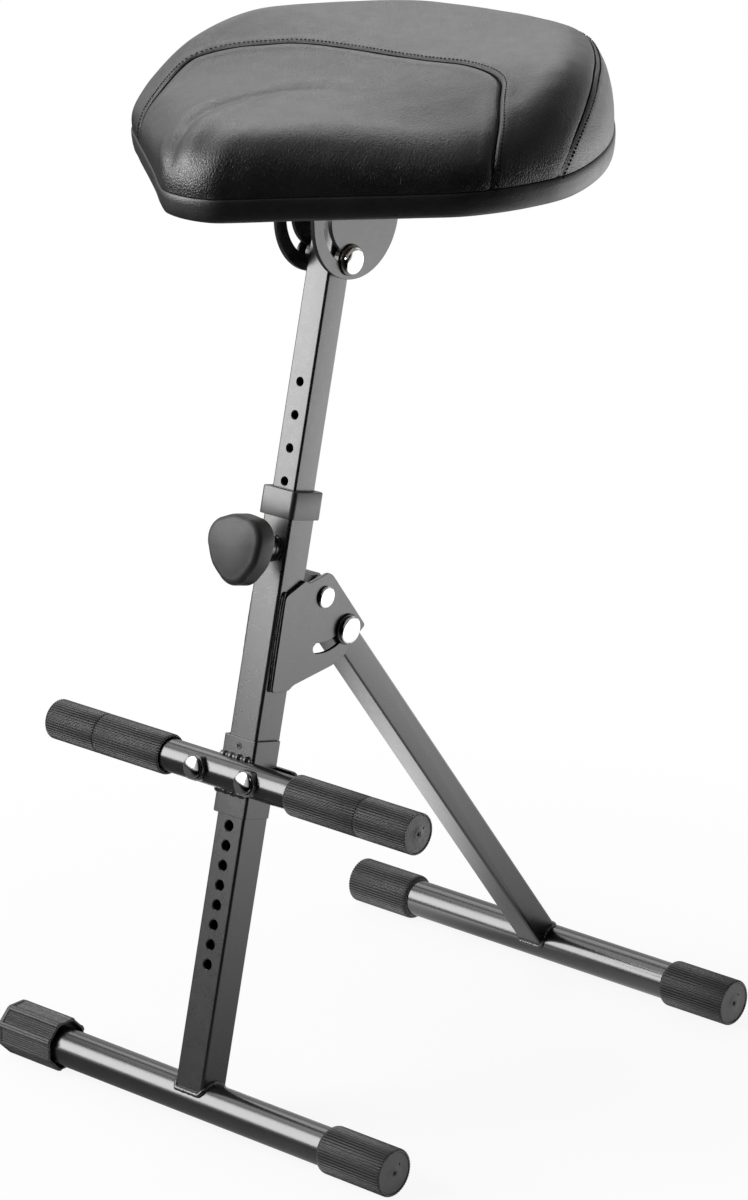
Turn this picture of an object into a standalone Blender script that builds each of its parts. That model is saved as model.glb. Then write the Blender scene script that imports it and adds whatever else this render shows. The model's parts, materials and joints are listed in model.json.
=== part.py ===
"""Sit-stand stool: a leaning leg with a folding rear strut, a sliding footrest and a tilting saddle seat.

All sizes are in millimetres. X runs along the base tubes, the front is -Y and Z is up.
Three working frames are used: the leg frame (n rearward, s up the leg), the strut frame and the seat frame.
"""
import math

import bmesh
import bpy
from mathutils import Matrix, Vector

MM = 0.001
GAP = 0.3
SLIDE_ROOM = 0.5
ROUND = 20
FINE = 24
HOLE_SEGMENTS = 12
CORNER_STEPS = 3
SLOT_STEPS = 12
SLOT_END_STEPS = 8

# Base tubes and foot caps
BASE_HALF = 215.0
BASE_REACH = 223.3
BASE_TUBE_DIA = 33.0
BASE_TUBE_WALL = 2.0
CAP_WALL = 3.75
CAP_DIA = BASE_TUBE_DIA + 2 * CAP_WALL
CAP_LENGTH = 68.5
CAP_END = 4.5
CAP_EDGE = 4.0
CAP_DOME = 1.0
CAP_INNER_CURVE = ((1.0, 0.0), (0.45, 0.2), (0.0, 1.0))
AXIS_Z = CAP_DIA / 2

# Level cap with its bore out of centre
LEVEL_SIDES = 8
LEVEL_ECCENTRIC = 1.75
LEVEL_APOTHEM = AXIS_Z + LEVEL_ECCENTRIC
LEVEL_LENGTH = 61.0
LEVEL_CHAMFER = 2.0

# Main leg and seat post
LEAN = math.radians(13.6)
LEG_SIDE = 30.0
LEG_WALL = 2.0
LEG_CORNER = 2.5
LEG_TOP = 510.0
POST_SIDE = LEG_SIDE - 2 * LEG_WALL - 2 * SLIDE_ROOM
POST_WALL = 2.0
POST_CORNER = 2.0
POST_FOOT = 330.0
POST_HOLE_PITCH = 27.2
POST_HOLES = 10
POST_HOLE_DIA = 6.5
POST_ABOVE_PIVOT = 15.0
GLIDE_FLANGE = 4.0
GLIDE_STEM = 16.0
COLLAR_WALL = 3.25
COLLAR_SIDE = LEG_SIDE + 2 * COLLAR_WALL
COLLAR_CORNER = 4.0
COLLAR_DEPTH = 20.5
COLLAR_LIP = 2.2

# Footrest row of holes on the leg
ROW_TOP = 299.0
ROW_PITCH = 16.75
ROW_HOLES = 12
ROW_HOLE_DIA = 8.5

# Lock screw
LOCK_BELOW_TOP = 46.2
LOCK_S = LEG_TOP - LOCK_BELOW_TOP
LOCK_HOLE = 5
POST_TOP_HOLE = LOCK_S + LOCK_HOLE * POST_HOLE_PITCH
SPINDLE_DIA = 9.4
BOSS_WALL = 5.3
BOSS_DIA = SPINDLE_DIA + 2 * BOSS_WALL
BOSS_LENGTH = 18.0
PIN_ROOM = 0.7
PIN_DIA = POST_HOLE_DIA - PIN_ROOM
PIN_LENGTH = 11.0
KNOB_BACK = 7.7
KNOB_STANDOFF = LEG_SIDE / 2 + GAP + BOSS_LENGTH + KNOB_BACK
KNOB_THICK = 25.0
KNOB_LOBE = 12.6
KNOB_LOBE_RADIUS = 18.3
KNOB_SIDE = 27.2
KNOB_SWEEP = math.radians(48.0)
KNOB_TURN = math.radians(9.0)
KNOB_EDGE = 4.0
KNOB_SOCKET = 14.0
KNOB_LOBE_STEPS = 8

# Fold plates and strut
PLATE_THICK = 3.0
PLATE_OUTLINE = (
    (-48.7, 0.2), (-26.5, 13.7), (-22.1, 11.5), (-0.3, 20.2), (5.8, 18.3), (56.7, -24.2),
    (51.1, -29.4), (34.7, -50.9), (22.7, -57.5), (-22.7, -73.6), (-27.2, -78.0), (-47.7, -79.7),
)
FOLD_BEHIND = 24.1
FOLD_N = LEG_SIDE / 2 + FOLD_BEHIND
FOLD_S = 426.1
FOLD_SLOT_RADIUS = 43.0
SLOT_ROOM = 0.8
FOLD_SLOT_OVERRUN = math.radians(1.0)
RIVET_DIA = 10.0
RIVET_HEAD_DIA = 18.5
RIVET_HEAD = 2.6
RIVET_CURVE = ((0.5, 0.0), (0.5, 0.4), (0.38, 0.85), (0.1, 1.0))
STRUT_ROOM = 2.5
STRUT_SIDE = LEG_SIDE - 2 * STRUT_ROOM
STRUT_WALL = 2.0
STRUT_CORNER = 2.0
STRUT_ABOVE_PIVOT = 14.0
FOLD_BOLT_DIA = 8.0
FOLD_SLOT_WIDTH = FOLD_BOLT_DIA + SLOT_ROOM
HEAD_CURVE = ((0.5, 0.0), (0.5, 0.35), (0.42, 0.70), (0.27, 0.92), (0.08, 1.0))
NUT_CURVE = ((0.5, 0.0), (0.5, 0.5), (0.38, 0.95), (0.1, 1.2))
NUT_GRIP = 0.7
FOLD_HEAD_DIA = 23.0
FOLD_HEAD = 3.6
FOLD_NUT_HEIGHT = 6.0
FOLD_NUT_DIA = 17.0
WASHER_DIA = 26.0
WASHER_THICK = 2.0
SPACER_DIA = 20.0

# Footrest
STUD_ABOVE_TUBE = 24.0
REST_S = ROW_TOP - STUD_ABOVE_TUBE
REST_AHEAD = 5.0
REST_N = -LEG_SIDE / 2 - REST_AHEAD
SLEEVE_BELOW = 34.0
SLEEVE_ABOVE = 31.0
SLEEVE_FOOT = REST_S - SLEEVE_BELOW
SLEEVE_TOP = REST_S + SLEEVE_ABOVE
SLEEVE_WALL = 2.5
SLEEVE_SHORT = 3.0
SLEEVE_FLANGE = LEG_SIDE / 2 - SLEEVE_SHORT
REST_TUBE_DIA = 28.0
REST_TUBE_WALL = 2.0
REST_HALF = 199.7
GRIP_WALL = 3.25
GRIP_DIA = REST_TUBE_DIA + 2 * GRIP_WALL
GRIP_CAP_LENGTH = 55.0
GRIP_SLEEVE_LENGTH = 74.7
GRIP_END = 4.5
GRIP_EDGE = 3.0
REST_BOLT_ASIDE = 13.0
REST_BOLT_X = LEG_SIDE / 2 + REST_BOLT_ASIDE
REST_BOLT_DIA = 6.0
REST_HEAD_DIA = 19.0
REST_HEAD = 4.7
HEX_COLLAR_DIA = 24.0
HEX_COLLAR_PROUD = 3.5
HEX_COLLAR_SKIRT = 4.5
BAR_OVERHANG = 9.0
BAR_THICK = 4.4
BAR_HEIGHT = 17.0
REST_NUT_DIA = 11.5
REST_NUT = 4.4
STUD_DIA = 8.0
STUD_PROUD = 0.5
STUD_TIP = 0.8

# Seat hinge
HINGE_S = 738.0
HINGE_ARM = 35.0
HINGE_MARGIN = 3.0
HINGE_RADIUS = HINGE_ARM + WASHER_DIA / 2 + HINGE_MARGIN
HINGE_SLOT_BACK = math.radians(6.0)
HINGE_SLOT_FRONT = math.radians(85.0)
CHEEK_THICK = 4.0
HINGE_ROOM = 5.5
CHEEK_INNER = POST_SIDE / 2 + HINGE_ROOM
PIVOT_PIN_DIA = 10.0
POCKET_FLOOR = 1.2
PIVOT_POCKET = CHEEK_THICK - POCKET_FLOOR
CLAMP_BOLT_DIA = 8.0
HINGE_SLOT_WIDTH = CLAMP_BOLT_DIA + SLOT_ROOM
CLAMP_HEAD_DIA = 22.0
CLAMP_HEAD = 3.4
CLAMP_NUT_HEIGHT = 5.4
CLAMP_NUT_DIA = 17.0
SCREW_DIA = 4.4
SCREW_HEAD_DIA = 9.0
SCREW_HEAD = 3.0
SCREW_TIP = 0.6
SCREW_FLANK = 0.6
SCREW_GRIP = 10.0
SCREW_U = 9.0
SCREW_V = 36.0

# Seat: half plan at the trim line, from the nose round to the middle of the back
TILT = math.radians(3.6)
RIM_RISE = 36.4
SEAT_HALF_PLAN = (
    (0.0, -175.0), (24.0, -171.0), (43.0, -158.0), (68.0, -137.0), (102.0, -110.0), (148.0, -74.0), (181.0, -45.0),
    (205.0, -1.0), (212.0, 48.0), (189.0, 115.0), (143.0, 180.0), (88.0, 228.0), (0.0, 242.0),
)
PLAN_SEGMENTS = 56
PLAN_STEPS = 24
SEAT_CENTRE_V = 25.0
BAND_HEIGHT = 20.0
BAND_THICK = 5.0
BAND_TAPER = 4.0
BAND_SECTION = ((1.0, 0.0), (0.35, 0.18), (0.0, 0.7), (0.0, 0.94), (0.25, 1.0))
TRIM_INSET = 1.0
BOARD_FLOOR = 4.0
CUSHION_RINGS = 15
RING_POWER = 1.5
CUSHION_LEVEL = 66.0
CUSHION_ROUND = 46.0
CUSHION_POWER = 2.4
CUSHION_BULGE = 1.0
NOSE_ROUND = 14.0
NOSE_RUN = 120.0
BACK_RISE = 20.0
BACK_FROM = -54.0
BACK_RUN = 162.0
SIDE_RISE = 6.0
SIDE_DROP = 14.0
SIDE_FROM = 40.0
SIDE_RUN = 150.0
PAD_DIA = 26.0
PAD_THICK = 3.0
PAD_PLACES = (("nose", 26.0, -136.0), ("side", 168.0, -14.0))

# Colours by kind of surface
FINISHES = {
    "coat": ((0.022, 0.022, 0.023, 1.0), 0.35, 0.0),
    "chrome": ((0.75, 0.75, 0.76, 1.0), 0.12, 1.0),
    "zinc": ((0.55, 0.56, 0.57, 1.0), 0.32, 1.0),
    "plastic": ((0.020, 0.020, 0.021, 1.0), 0.55, 0.0),
    "rubber": ((0.026, 0.026, 0.027, 1.0), 0.70, 0.0),
    "wood": ((0.42, 0.28, 0.15, 1.0), 0.60, 0.0),
    "hide": ((0.020, 0.020, 0.021, 1.0), 0.42, 0.0),
}


def polar(radius, angle):
    return (radius * math.cos(angle), radius * math.sin(angle))


def finish(obj, kind):
    colour, roughness, metallic = FINISHES[kind]
    material = bpy.data.materials.new(obj.name + "_" + kind)
    material.use_nodes = True
    shader = material.node_tree.nodes["Principled BSDF"]
    shader.inputs["Base Color"].default_value = colour
    shader.inputs["Roughness"].default_value = roughness
    shader.inputs["Metallic"].default_value = metallic
    obj.data.materials.append(material)
    return obj


def solid(name, points, faces, frame, kind):
    mesh = bpy.data.meshes.new(name)
    mesh.from_pydata([(frame @ Vector(p)) * MM for p in points], [], faces)
    shell = bmesh.new()
    shell.from_mesh(mesh)
    bmesh.ops.recalc_face_normals(shell, faces=shell.faces)
    shell.to_mesh(mesh)
    shell.free()
    obj = bpy.data.objects.new(name, mesh)
    bpy.context.scene.collection.objects.link(obj)
    if kind is None:
        obj.hide_render = True
        obj.display_type = "WIRE"
        return obj
    return finish(obj, kind)


def loft(name, loops, frame, kind):
    """Joins equal loops of points into one closed body with a flat cap on both ends."""
    size = len(loops[0])
    points = [p for loop in loops for p in loop]
    faces = [tuple(range(size)), tuple(range(len(points) - size, len(points)))]
    for row in range(len(loops) - 1):
        for i in range(size):
            j = (i + 1) % size
            low, high = row * size, (row + 1) * size
            faces.append((low + i, low + j, high + j, high + i))
    return solid(name, points, faces, frame, kind)


def ring(name, loops, frame, kind):
    """Joins equal loops into one closed ring: the last loop meets the first."""
    size = len(loops[0])
    points = [p for loop in loops for p in loop]
    faces = []
    for row in range(len(loops)):
        for i in range(size):
            j = (i + 1) % size
            low, high = row * size, ((row + 1) % len(loops)) * size
            faces.append((low + i, low + j, high + j, high + i))
    return solid(name, points, faces, frame, kind)


def circle(radius, level, segments):
    return [polar(radius, 2 * math.pi * (i + 0.5) / segments) + (level,) for i in range(segments)]


def turned(name, profile, frame, kind, segments=ROUND):
    return loft(name, [circle(r, a, segments) for r, a in profile], frame, kind)


def bored(name, profile, bore, frame, kind, segments=ROUND):
    """A turned body with a through bore: the profile is its outside."""
    low, high = profile[0][1], profile[-1][1]
    loops = [circle(r, a, segments) for r, a in profile]
    loops += [circle(bore, high, segments), circle(bore, low, segments)]
    return ring(name, loops, frame, kind)


def prism(name, outline, low, high, frame, kind):
    return loft(name, [[p + (low,) for p in outline], [p + (high,) for p in outline]], frame, kind)


def rounded_square(half, radius):
    outline = []
    for quarter in range(4):
        turn = quarter * math.pi / 2
        centre = polar((half - radius) * math.sqrt(2), turn + math.pi / 4)
        for step in range(CORNER_STEPS + 1):
            x, y = polar(radius, turn + step * math.pi / 2 / CORNER_STEPS)
            outline.append((centre[0] + x, centre[1] + y))
    return outline


def box_tube(name, side, wall, corner, low, high, frame, kind):
    outer = rounded_square(side / 2, corner)
    inner = rounded_square(side / 2 - wall, max(corner - wall, wall / 4))
    loops = [(outer, low), (outer, high), (inner, high), (inner, low)]
    return ring(name, [[p + (level,) for p in loop] for loop, level in loops], frame, kind)


def rectangle(a0, a1, b0, b1):
    return [(a0, b0), (a1, b0), (a1, b1), (a0, b1)]


def arc_slot(radius, width, start, stop):
    """Outline of a slot along an arc with round ends."""
    half = width / 2
    turns = [start + (stop - start) * i / SLOT_STEPS for i in range(SLOT_STEPS + 1)]
    outline = [polar(radius + half, turn) for turn in turns]
    for centre_angle, first in ((stop, stop), (start, start + math.pi)):
        cx, cy = polar(radius, centre_angle)
        for i in range(1, SLOT_END_STEPS):
            x, y = polar(half, first + math.pi * i / SLOT_END_STEPS)
            outline.append((cx + x, cy + y))
        if centre_angle == stop:
            outline += [polar(radius - half, turn) for turn in reversed(turns)]
    return outline


def cut(obj, cutter):
    modifier = obj.modifiers.new("cut_" + cutter.name, "BOOLEAN")
    modifier.operation = "DIFFERENCE"
    modifier.solver = "EXACT"
    modifier.object = cutter


def drill(obj, frames, dia, low, high):
    """Cuts one round hole per frame, along that frame's own Z."""
    points, faces = [], []
    for frame in frames:
        first = len(points)
        for level in (low, high):
            points += [frame @ Vector(p) for p in circle(dia / 2, level, HOLE_SEGMENTS)]
        faces.append(tuple(range(first, first + HOLE_SEGMENTS)))
        faces.append(tuple(range(first + HOLE_SEGMENTS, first + 2 * HOLE_SEGMENTS)))
        for i in range(HOLE_SEGMENTS):
            a, b = first + i, first + (i + 1) % HOLE_SEGMENTS
            faces.append((a, b, b + HOLE_SEGMENTS, a + HOLE_SEGMENTS))
    cut(obj, solid(obj.name + "_drill_" + str(len(obj.modifiers)), points, faces, Matrix.Identity(4), None))


def along_x(frame, n, s):
    """A frame whose Z runs along +X, at (n, s) of the given frame."""
    return frame @ Matrix.Translation((0, n, s)) @ Matrix.Rotation(math.pi / 2, 4, "Y")


def mirrored(frame):
    """The same axis pointing the other way."""
    return frame @ Matrix.Rotation(math.pi, 4, "X")


def to_front(frame, x, s):
    """A frame whose Z runs to the front, from the axis of the leg."""
    return frame @ Matrix.Translation((x, 0, s)) @ Matrix.Rotation(math.pi / 2, 4, "X")


def dome(shaft, tail, head, under, height):
    """Profile of a bolt from its tail, up the shaft, to a domed head."""
    profile = [(shaft / 2, tail), (shaft / 2, under)]
    return profile + [(head * wide, under + height * high) for wide, high in HEAD_CURVE]


def cap_profile(dia, length):
    """Outside of a foot cap or grip end, from its rounded inner end to its slightly domed face."""
    r = dia / 2 / math.cos(math.pi / FINE)
    profile = [(r - CAP_EDGE * drawn, CAP_EDGE * level) for drawn, level in CAP_INNER_CURVE]
    profile += [(r, length - CAP_EDGE / 2), (r - CAP_EDGE / 2, length - CAP_DOME)]
    return profile + [(r / 2, length - CAP_DOME / 3), (r / 10, length)]


def blind_cap(name, dia, length, bore, end, frame, kind):
    outside = [circle(r, a, FINE) for r, a in cap_profile(dia, length)]
    inside = [circle(r, a, FINE) for r, a in ((bore, 0.0), (bore, length - end), (bore / 10, length - end))]
    size = FINE
    loops = inside[::-1] + outside
    points = [p for loop in loops for p in loop]
    faces = [tuple(range(size)), tuple(range(len(points) - size, len(points)))]
    for row in range(len(loops) - 1):
        for i in range(size):
            j = (i + 1) % size
            faces.append((row * size + i, row * size + j, (row + 1) * size + j, (row + 1) * size + i))
    return solid(name, points, faces, frame, kind)


def hexagon(dia):
    return [polar(dia / 2, math.pi * i / 3) for i in range(6)]


for stale in list(bpy.data.objects):
    bpy.data.objects.remove(stale, do_unlink=True)

WORLD = Matrix.Identity(4)
LEG = Matrix.Translation((0, -BASE_REACH, AXIS_Z)) @ Matrix.Rotation(-LEAN, 4, "X")
FOLD_POINT = LEG @ Vector((0, FOLD_N, FOLD_S))
STRUT_LEAN = math.atan2(BASE_REACH - FOLD_POINT.y, FOLD_POINT.z - AXIS_Z)
STRUT_LENGTH = math.hypot(BASE_REACH - FOLD_POINT.y, FOLD_POINT.z - AXIS_Z)
STRUT = Matrix.Translation(FOLD_POINT) @ Matrix.Rotation(math.pi + STRUT_LEAN, 4, "X")
SEAT = Matrix.Translation(LEG @ Vector((0, 0, HINGE_S))) @ Matrix.Rotation(TILT, 4, "X")
FOLD = LEG @ Matrix.Translation((0, FOLD_N, FOLD_S))

# Base tubes and caps
tube_half = BASE_HALF - CAP_END - GAP
tube_r = BASE_TUBE_DIA / 2
bore = tube_r + GAP
for name, y in (("front_base_tube", -BASE_REACH), ("rear_base_tube", BASE_REACH)):
    frame = along_x(WORLD, y, AXIS_Z)
    bored(name, [(tube_r, -tube_half), (tube_r, tube_half)], tube_r - BASE_TUBE_WALL, frame, "coat")
for name, y, side in (("front_cap_right", -1, 1), ("rear_cap_right", 1, 1), ("rear_cap_left", 1, -1)):
    frame = along_x(WORLD, y * BASE_REACH, AXIS_Z)
    frame = (frame if side > 0 else mirrored(frame)) @ Matrix.Translation((0, 0, BASE_HALF - CAP_LENGTH))
    blind_cap(name, CAP_DIA, CAP_LENGTH, bore, CAP_END, frame, "rubber")

# Level cap, thick side up
level_frame = mirrored(along_x(WORLD, -BASE_REACH, AXIS_Z + LEVEL_ECCENTRIC))
level_frame = level_frame @ Matrix.Translation((0, 0, BASE_HALF - LEVEL_LENGTH))
level_r = LEVEL_APOTHEM / math.cos(math.pi / LEVEL_SIDES)
level_steps = (
    (LEVEL_CHAMFER, 0.0), (0.0, LEVEL_CHAMFER),
    (0.0, LEVEL_LENGTH - LEVEL_CHAMFER), (LEVEL_CHAMFER, LEVEL_LENGTH),
)
level_loops = [circle(level_r - drawn, level, LEVEL_SIDES) for drawn, level in level_steps]
level_cap = loft("level_cap", level_loops, level_frame, "rubber")
level_axis = mirrored(along_x(WORLD, -BASE_REACH, AXIS_Z))
level_bore = [(bore, BASE_HALF - 2 * LEVEL_LENGTH), (bore, BASE_HALF - CAP_END)]
cut(level_cap, turned("level_bore", level_bore, level_axis, None, FINE))

# Main leg, fish-mouthed over the front tube
leg_half = LEG_SIDE / 2
main_leg = box_tube("main_leg", LEG_SIDE, LEG_WALL, LEG_CORNER, BASE_TUBE_WALL, LEG_TOP, LEG, "coat")
saddle = along_x(LEG, 0, 0)
cut(main_leg, turned("leg_saddle", [(bore, -LEG_SIDE), (bore, LEG_SIDE)], saddle, None, FINE))
row = [to_front(LEG, 0, ROW_TOP - ROW_PITCH * i) for i in range(ROW_HOLES)]
drill(main_leg, row, ROW_HOLE_DIA, leg_half - 2 * LEG_WALL, leg_half + LEG_WALL)
drill(main_leg, [to_front(LEG, 0, LOCK_S)], PIN_DIA + 4 * GAP, leg_half - 2 * LEG_WALL, leg_half + LEG_WALL)

# Collar over the top of the leg
collar_outer = rounded_square(COLLAR_SIDE / 2, COLLAR_CORNER)
collar_inner = rounded_square(leg_half + GAP, LEG_CORNER)
collar_mouth = rounded_square(POST_SIDE / 2 + GAP, POST_CORNER)
collar_foot, collar_seat = LEG_TOP - COLLAR_DEPTH, LEG_TOP + GAP
collar_top = collar_seat + COLLAR_LIP
collar_loops = [
    (collar_outer, collar_foot), (collar_outer, collar_top), (collar_mouth, collar_top),
    (collar_mouth, collar_seat), (collar_inner, collar_seat), (collar_inner, collar_foot),
]
ring("leg_collar", [[p + (level,) for p in loop] for loop, level in collar_loops], LEG, "plastic")

# Lock boss, pin, spindle and knob
lock_frame = to_front(LEG, 0, LOCK_S)
boss_back = leg_half + GAP
boss_front = boss_back + BOSS_LENGTH
boss_profile = [(BOSS_DIA / 2, boss_back), (BOSS_DIA / 2, boss_front)]
bored("lock_boss", boss_profile, SPINDLE_DIA / 2 + GAP, lock_frame, "coat")
pin_tip = POST_SIDE / 2 + GAP
pin_profile = [(PIN_DIA / 2, pin_tip), (PIN_DIA / 2, pin_tip + PIN_LENGTH)]
turned("lock_pin", pin_profile, lock_frame, "zinc", HOLE_SEGMENTS)
spindle_low = pin_tip + PIN_LENGTH + GAP
spindle_high = KNOB_STANDOFF + KNOB_SOCKET - GAP
turned("lock_spindle", [(SPINDLE_DIA / 2, spindle_low), (SPINDLE_DIA / 2, spindle_high)], lock_frame, "zinc")


def knob_outline(drawn):
    outline = []
    for lobe in range(3):
        middle = -math.pi / 2 + KNOB_TURN + lobe * 2 * math.pi / 3
        centre = polar(KNOB_LOBE, middle)
        for step in range(KNOB_LOBE_STEPS + 1):
            turn = KNOB_SWEEP * (2 * step / KNOB_LOBE_STEPS - 1)
            x, y = polar(KNOB_LOBE_RADIUS - drawn, middle + turn)
            outline.append((centre[0] + x, centre[1] + y))
        outline.append(polar(KNOB_SIDE - drawn, middle + math.pi / 3))
    return outline


knob_loops = []
knob_steps = (
    (KNOB_EDGE, 0.0), (0.0, KNOB_EDGE), (0.0, KNOB_THICK - KNOB_EDGE), (KNOB_EDGE, KNOB_THICK),
)
for drawn, level in knob_steps:
    knob_loops.append([p + (KNOB_STANDOFF + level,) for p in knob_outline(drawn)])
lock_knob = loft("lock_knob", knob_loops, lock_frame, "plastic")
socket_end = KNOB_STANDOFF + KNOB_SOCKET
drill(lock_knob, [lock_frame], SPINDLE_DIA + 2 * GAP, KNOB_STANDOFF - KNOB_EDGE, socket_end)

# Fold plates
plate_in = leg_half + GAP
plate_out = plate_in + PLATE_THICK
strut_angle = math.pi / 2 - STRUT_LEAN - LEAN
slot_start = -strut_angle + FOLD_SLOT_OVERRUN
slot_stop = -math.pi / 2 - FOLD_SLOT_OVERRUN
YZ_TO_XY = Matrix(((0, 0, 1, 0), (1, 0, 0, 0), (0, 1, 0, 0), (0, 0, 0, 1)))
slot_outline = arc_slot(FOLD_SLOT_RADIUS, FOLD_SLOT_WIDTH, slot_stop, slot_start)
plate_spans = (("fold_plate_right", plate_in, plate_out), ("fold_plate_left", -plate_out, -plate_in))
for name, low, high in plate_spans:
    plate = prism(name, list(PLATE_OUTLINE), low, high, FOLD @ YZ_TO_XY, "coat")
    cut(plate, prism(name + "_slot", slot_outline, low - GAP, high + GAP, FOLD @ YZ_TO_XY, None))
    drill(plate, [along_x(FOLD, 0, 0)], RIVET_DIA + 2 * GAP, low - GAP, high + GAP)

# Fold rivet, with a head on both sides
head_in = plate_out + GAP
rivet_half = [(RIVET_DIA / 2, head_in)]
rivet_half += [(RIVET_HEAD_DIA * wide, head_in + RIVET_HEAD * high) for wide, high in RIVET_CURVE]
rivet_profile = [(r, -a) for r, a in reversed(rivet_half)] + rivet_half
turned("fold_rivet", rivet_profile, along_x(FOLD, 0, 0), "zinc")

# Strut with its spacers, bolt, washers and nut
strut_half = STRUT_SIDE / 2
strut_foot = STRUT_LENGTH - BASE_TUBE_WALL
strut_top = -STRUT_ABOVE_PIVOT
strut = box_tube("strut_tube", STRUT_SIDE, STRUT_WALL, STRUT_CORNER, strut_top, strut_foot, STRUT, "coat")
strut_saddle = along_x(STRUT, 0, STRUT_LENGTH)
cut(strut, turned("strut_saddle", [(bore, -STRUT_SIDE), (bore, STRUT_SIDE)], strut_saddle, None, FINE))
pivot_axis = along_x(STRUT, 0, 0)
bolt_axis = along_x(STRUT, 0, FOLD_SLOT_RADIUS)
drill(strut, [pivot_axis], RIVET_DIA + 2 * GAP, -STRUT_SIDE, STRUT_SIDE)
drill(strut, [bolt_axis], FOLD_BOLT_DIA + 2 * GAP, -STRUT_SIDE, STRUT_SIDE)
spacer_in = strut_half + GAP
spacer_out = plate_in - GAP
washer_in = plate_out + GAP
washer_out = washer_in + WASHER_THICK
for side, turn in (("right", Matrix.Identity(4)), ("left", Matrix.Rotation(math.pi, 4, "X"))):
    spacer_profile = [(SPACER_DIA / 2, spacer_in), (SPACER_DIA / 2, spacer_out)]
    bored("pivot_spacer_" + side, spacer_profile, RIVET_DIA / 2 + GAP, pivot_axis @ turn, "plastic")
    washer_profile = [(WASHER_DIA / 2, washer_in), (WASHER_DIA / 2, washer_out)]
    bored("fold_washer_" + side, washer_profile, FOLD_BOLT_DIA / 2 + GAP, bolt_axis @ turn, "plastic")
nut_in = washer_out + GAP
bolt_profile = dome(FOLD_BOLT_DIA, -(nut_in + FOLD_NUT_HEIGHT * NUT_GRIP), FOLD_HEAD_DIA, nut_in, FOLD_HEAD)
turned("fold_bolt", bolt_profile, bolt_axis, "chrome")


def domed_nut(name, shaft, dia, low, height, frame):
    """A nut with a rounded closed end, over the tail of a bolt."""
    profile = [(dia * wide, low + height * high) for wide, high in NUT_CURVE]
    nut = turned(name, profile, frame, "plastic")
    drill(nut, [frame], shaft + 2 * GAP, low - height, low + height * NUT_GRIP + GAP)
    return nut


domed_nut("fold_nut", FOLD_BOLT_DIA, FOLD_NUT_DIA, nut_in, FOLD_NUT_HEIGHT, mirrored(bolt_axis))

# Seat post and its glide
post_top = HINGE_S + POST_ABOVE_PIVOT
post = box_tube("seat_post", POST_SIDE, POST_WALL, POST_CORNER, POST_FOOT, post_top, LEG, "coat")
post_half = POST_SIDE / 2
post_row = [to_front(LEG, 0, POST_TOP_HOLE - POST_HOLE_PITCH * i) for i in range(POST_HOLES)]
drill(post, post_row, POST_HOLE_DIA, post_half - 2 * POST_WALL, post_half + POST_WALL)
hinge_axis = along_x(LEG, 0, HINGE_S)
clamp_axis = along_x(LEG, 0, HINGE_S - HINGE_ARM)
drill(post, [hinge_axis], PIVOT_PIN_DIA + 2 * GAP, -POST_SIDE, POST_SIDE)
drill(post, [clamp_axis], CLAMP_BOLT_DIA + 2 * GAP, -POST_SIDE, POST_SIDE)
glide_stem = rounded_square(post_half - POST_WALL - GAP, POST_CORNER)
glide_flange = rounded_square(post_half, POST_CORNER)
glide_neck = POST_FOOT - GAP
glide_loops = [
    (glide_flange, glide_neck - GLIDE_FLANGE), (glide_flange, glide_neck),
    (glide_stem, glide_neck), (glide_stem, POST_FOOT + GLIDE_STEM),
]
loft("post_glide", [[p + (level,) for p in loop] for loop, level in glide_loops], LEG, "plastic")

# Seat hinge hardware on the post
cheek_out = CHEEK_INNER + CHEEK_THICK
pivot_half = CHEEK_INNER + PIVOT_POCKET - GAP
pivot_profile = [(PIVOT_PIN_DIA / 2, -pivot_half), (PIVOT_PIN_DIA / 2, pivot_half)]
turned("seat_pivot_pin", pivot_profile, hinge_axis, "zinc")
clamp_washer_in = cheek_out + GAP
clamp_washer_out = clamp_washer_in + WASHER_THICK
for side, turn in (("right", Matrix.Identity(4)), ("left", Matrix.Rotation(math.pi, 4, "X"))):
    spacer_profile = [(SPACER_DIA / 2, post_half + GAP), (SPACER_DIA / 2, CHEEK_INNER - GAP)]
    bored("hinge_spacer_" + side, spacer_profile, PIVOT_PIN_DIA / 2 + GAP, hinge_axis @ turn, "plastic")
    bored("clamp_spacer_" + side, spacer_profile, CLAMP_BOLT_DIA / 2 + GAP, clamp_axis @ turn, "plastic")
    washer_profile = [(WASHER_DIA / 2, clamp_washer_in), (WASHER_DIA / 2, clamp_washer_out)]
    bored("clamp_washer_" + side, washer_profile, CLAMP_BOLT_DIA / 2 + GAP, clamp_axis @ turn, "plastic")
clamp_in = clamp_washer_out + GAP
clamp_tail = clamp_in + CLAMP_NUT_HEIGHT * NUT_GRIP
clamp_profile = dome(CLAMP_BOLT_DIA, -clamp_tail, CLAMP_HEAD_DIA, clamp_in, CLAMP_HEAD)
turned("clamp_bolt", clamp_profile, clamp_axis, "chrome")
domed_nut("clamp_nut", CLAMP_BOLT_DIA, CLAMP_NUT_DIA, clamp_in, CLAMP_NUT_HEIGHT, mirrored(clamp_axis))

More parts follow.
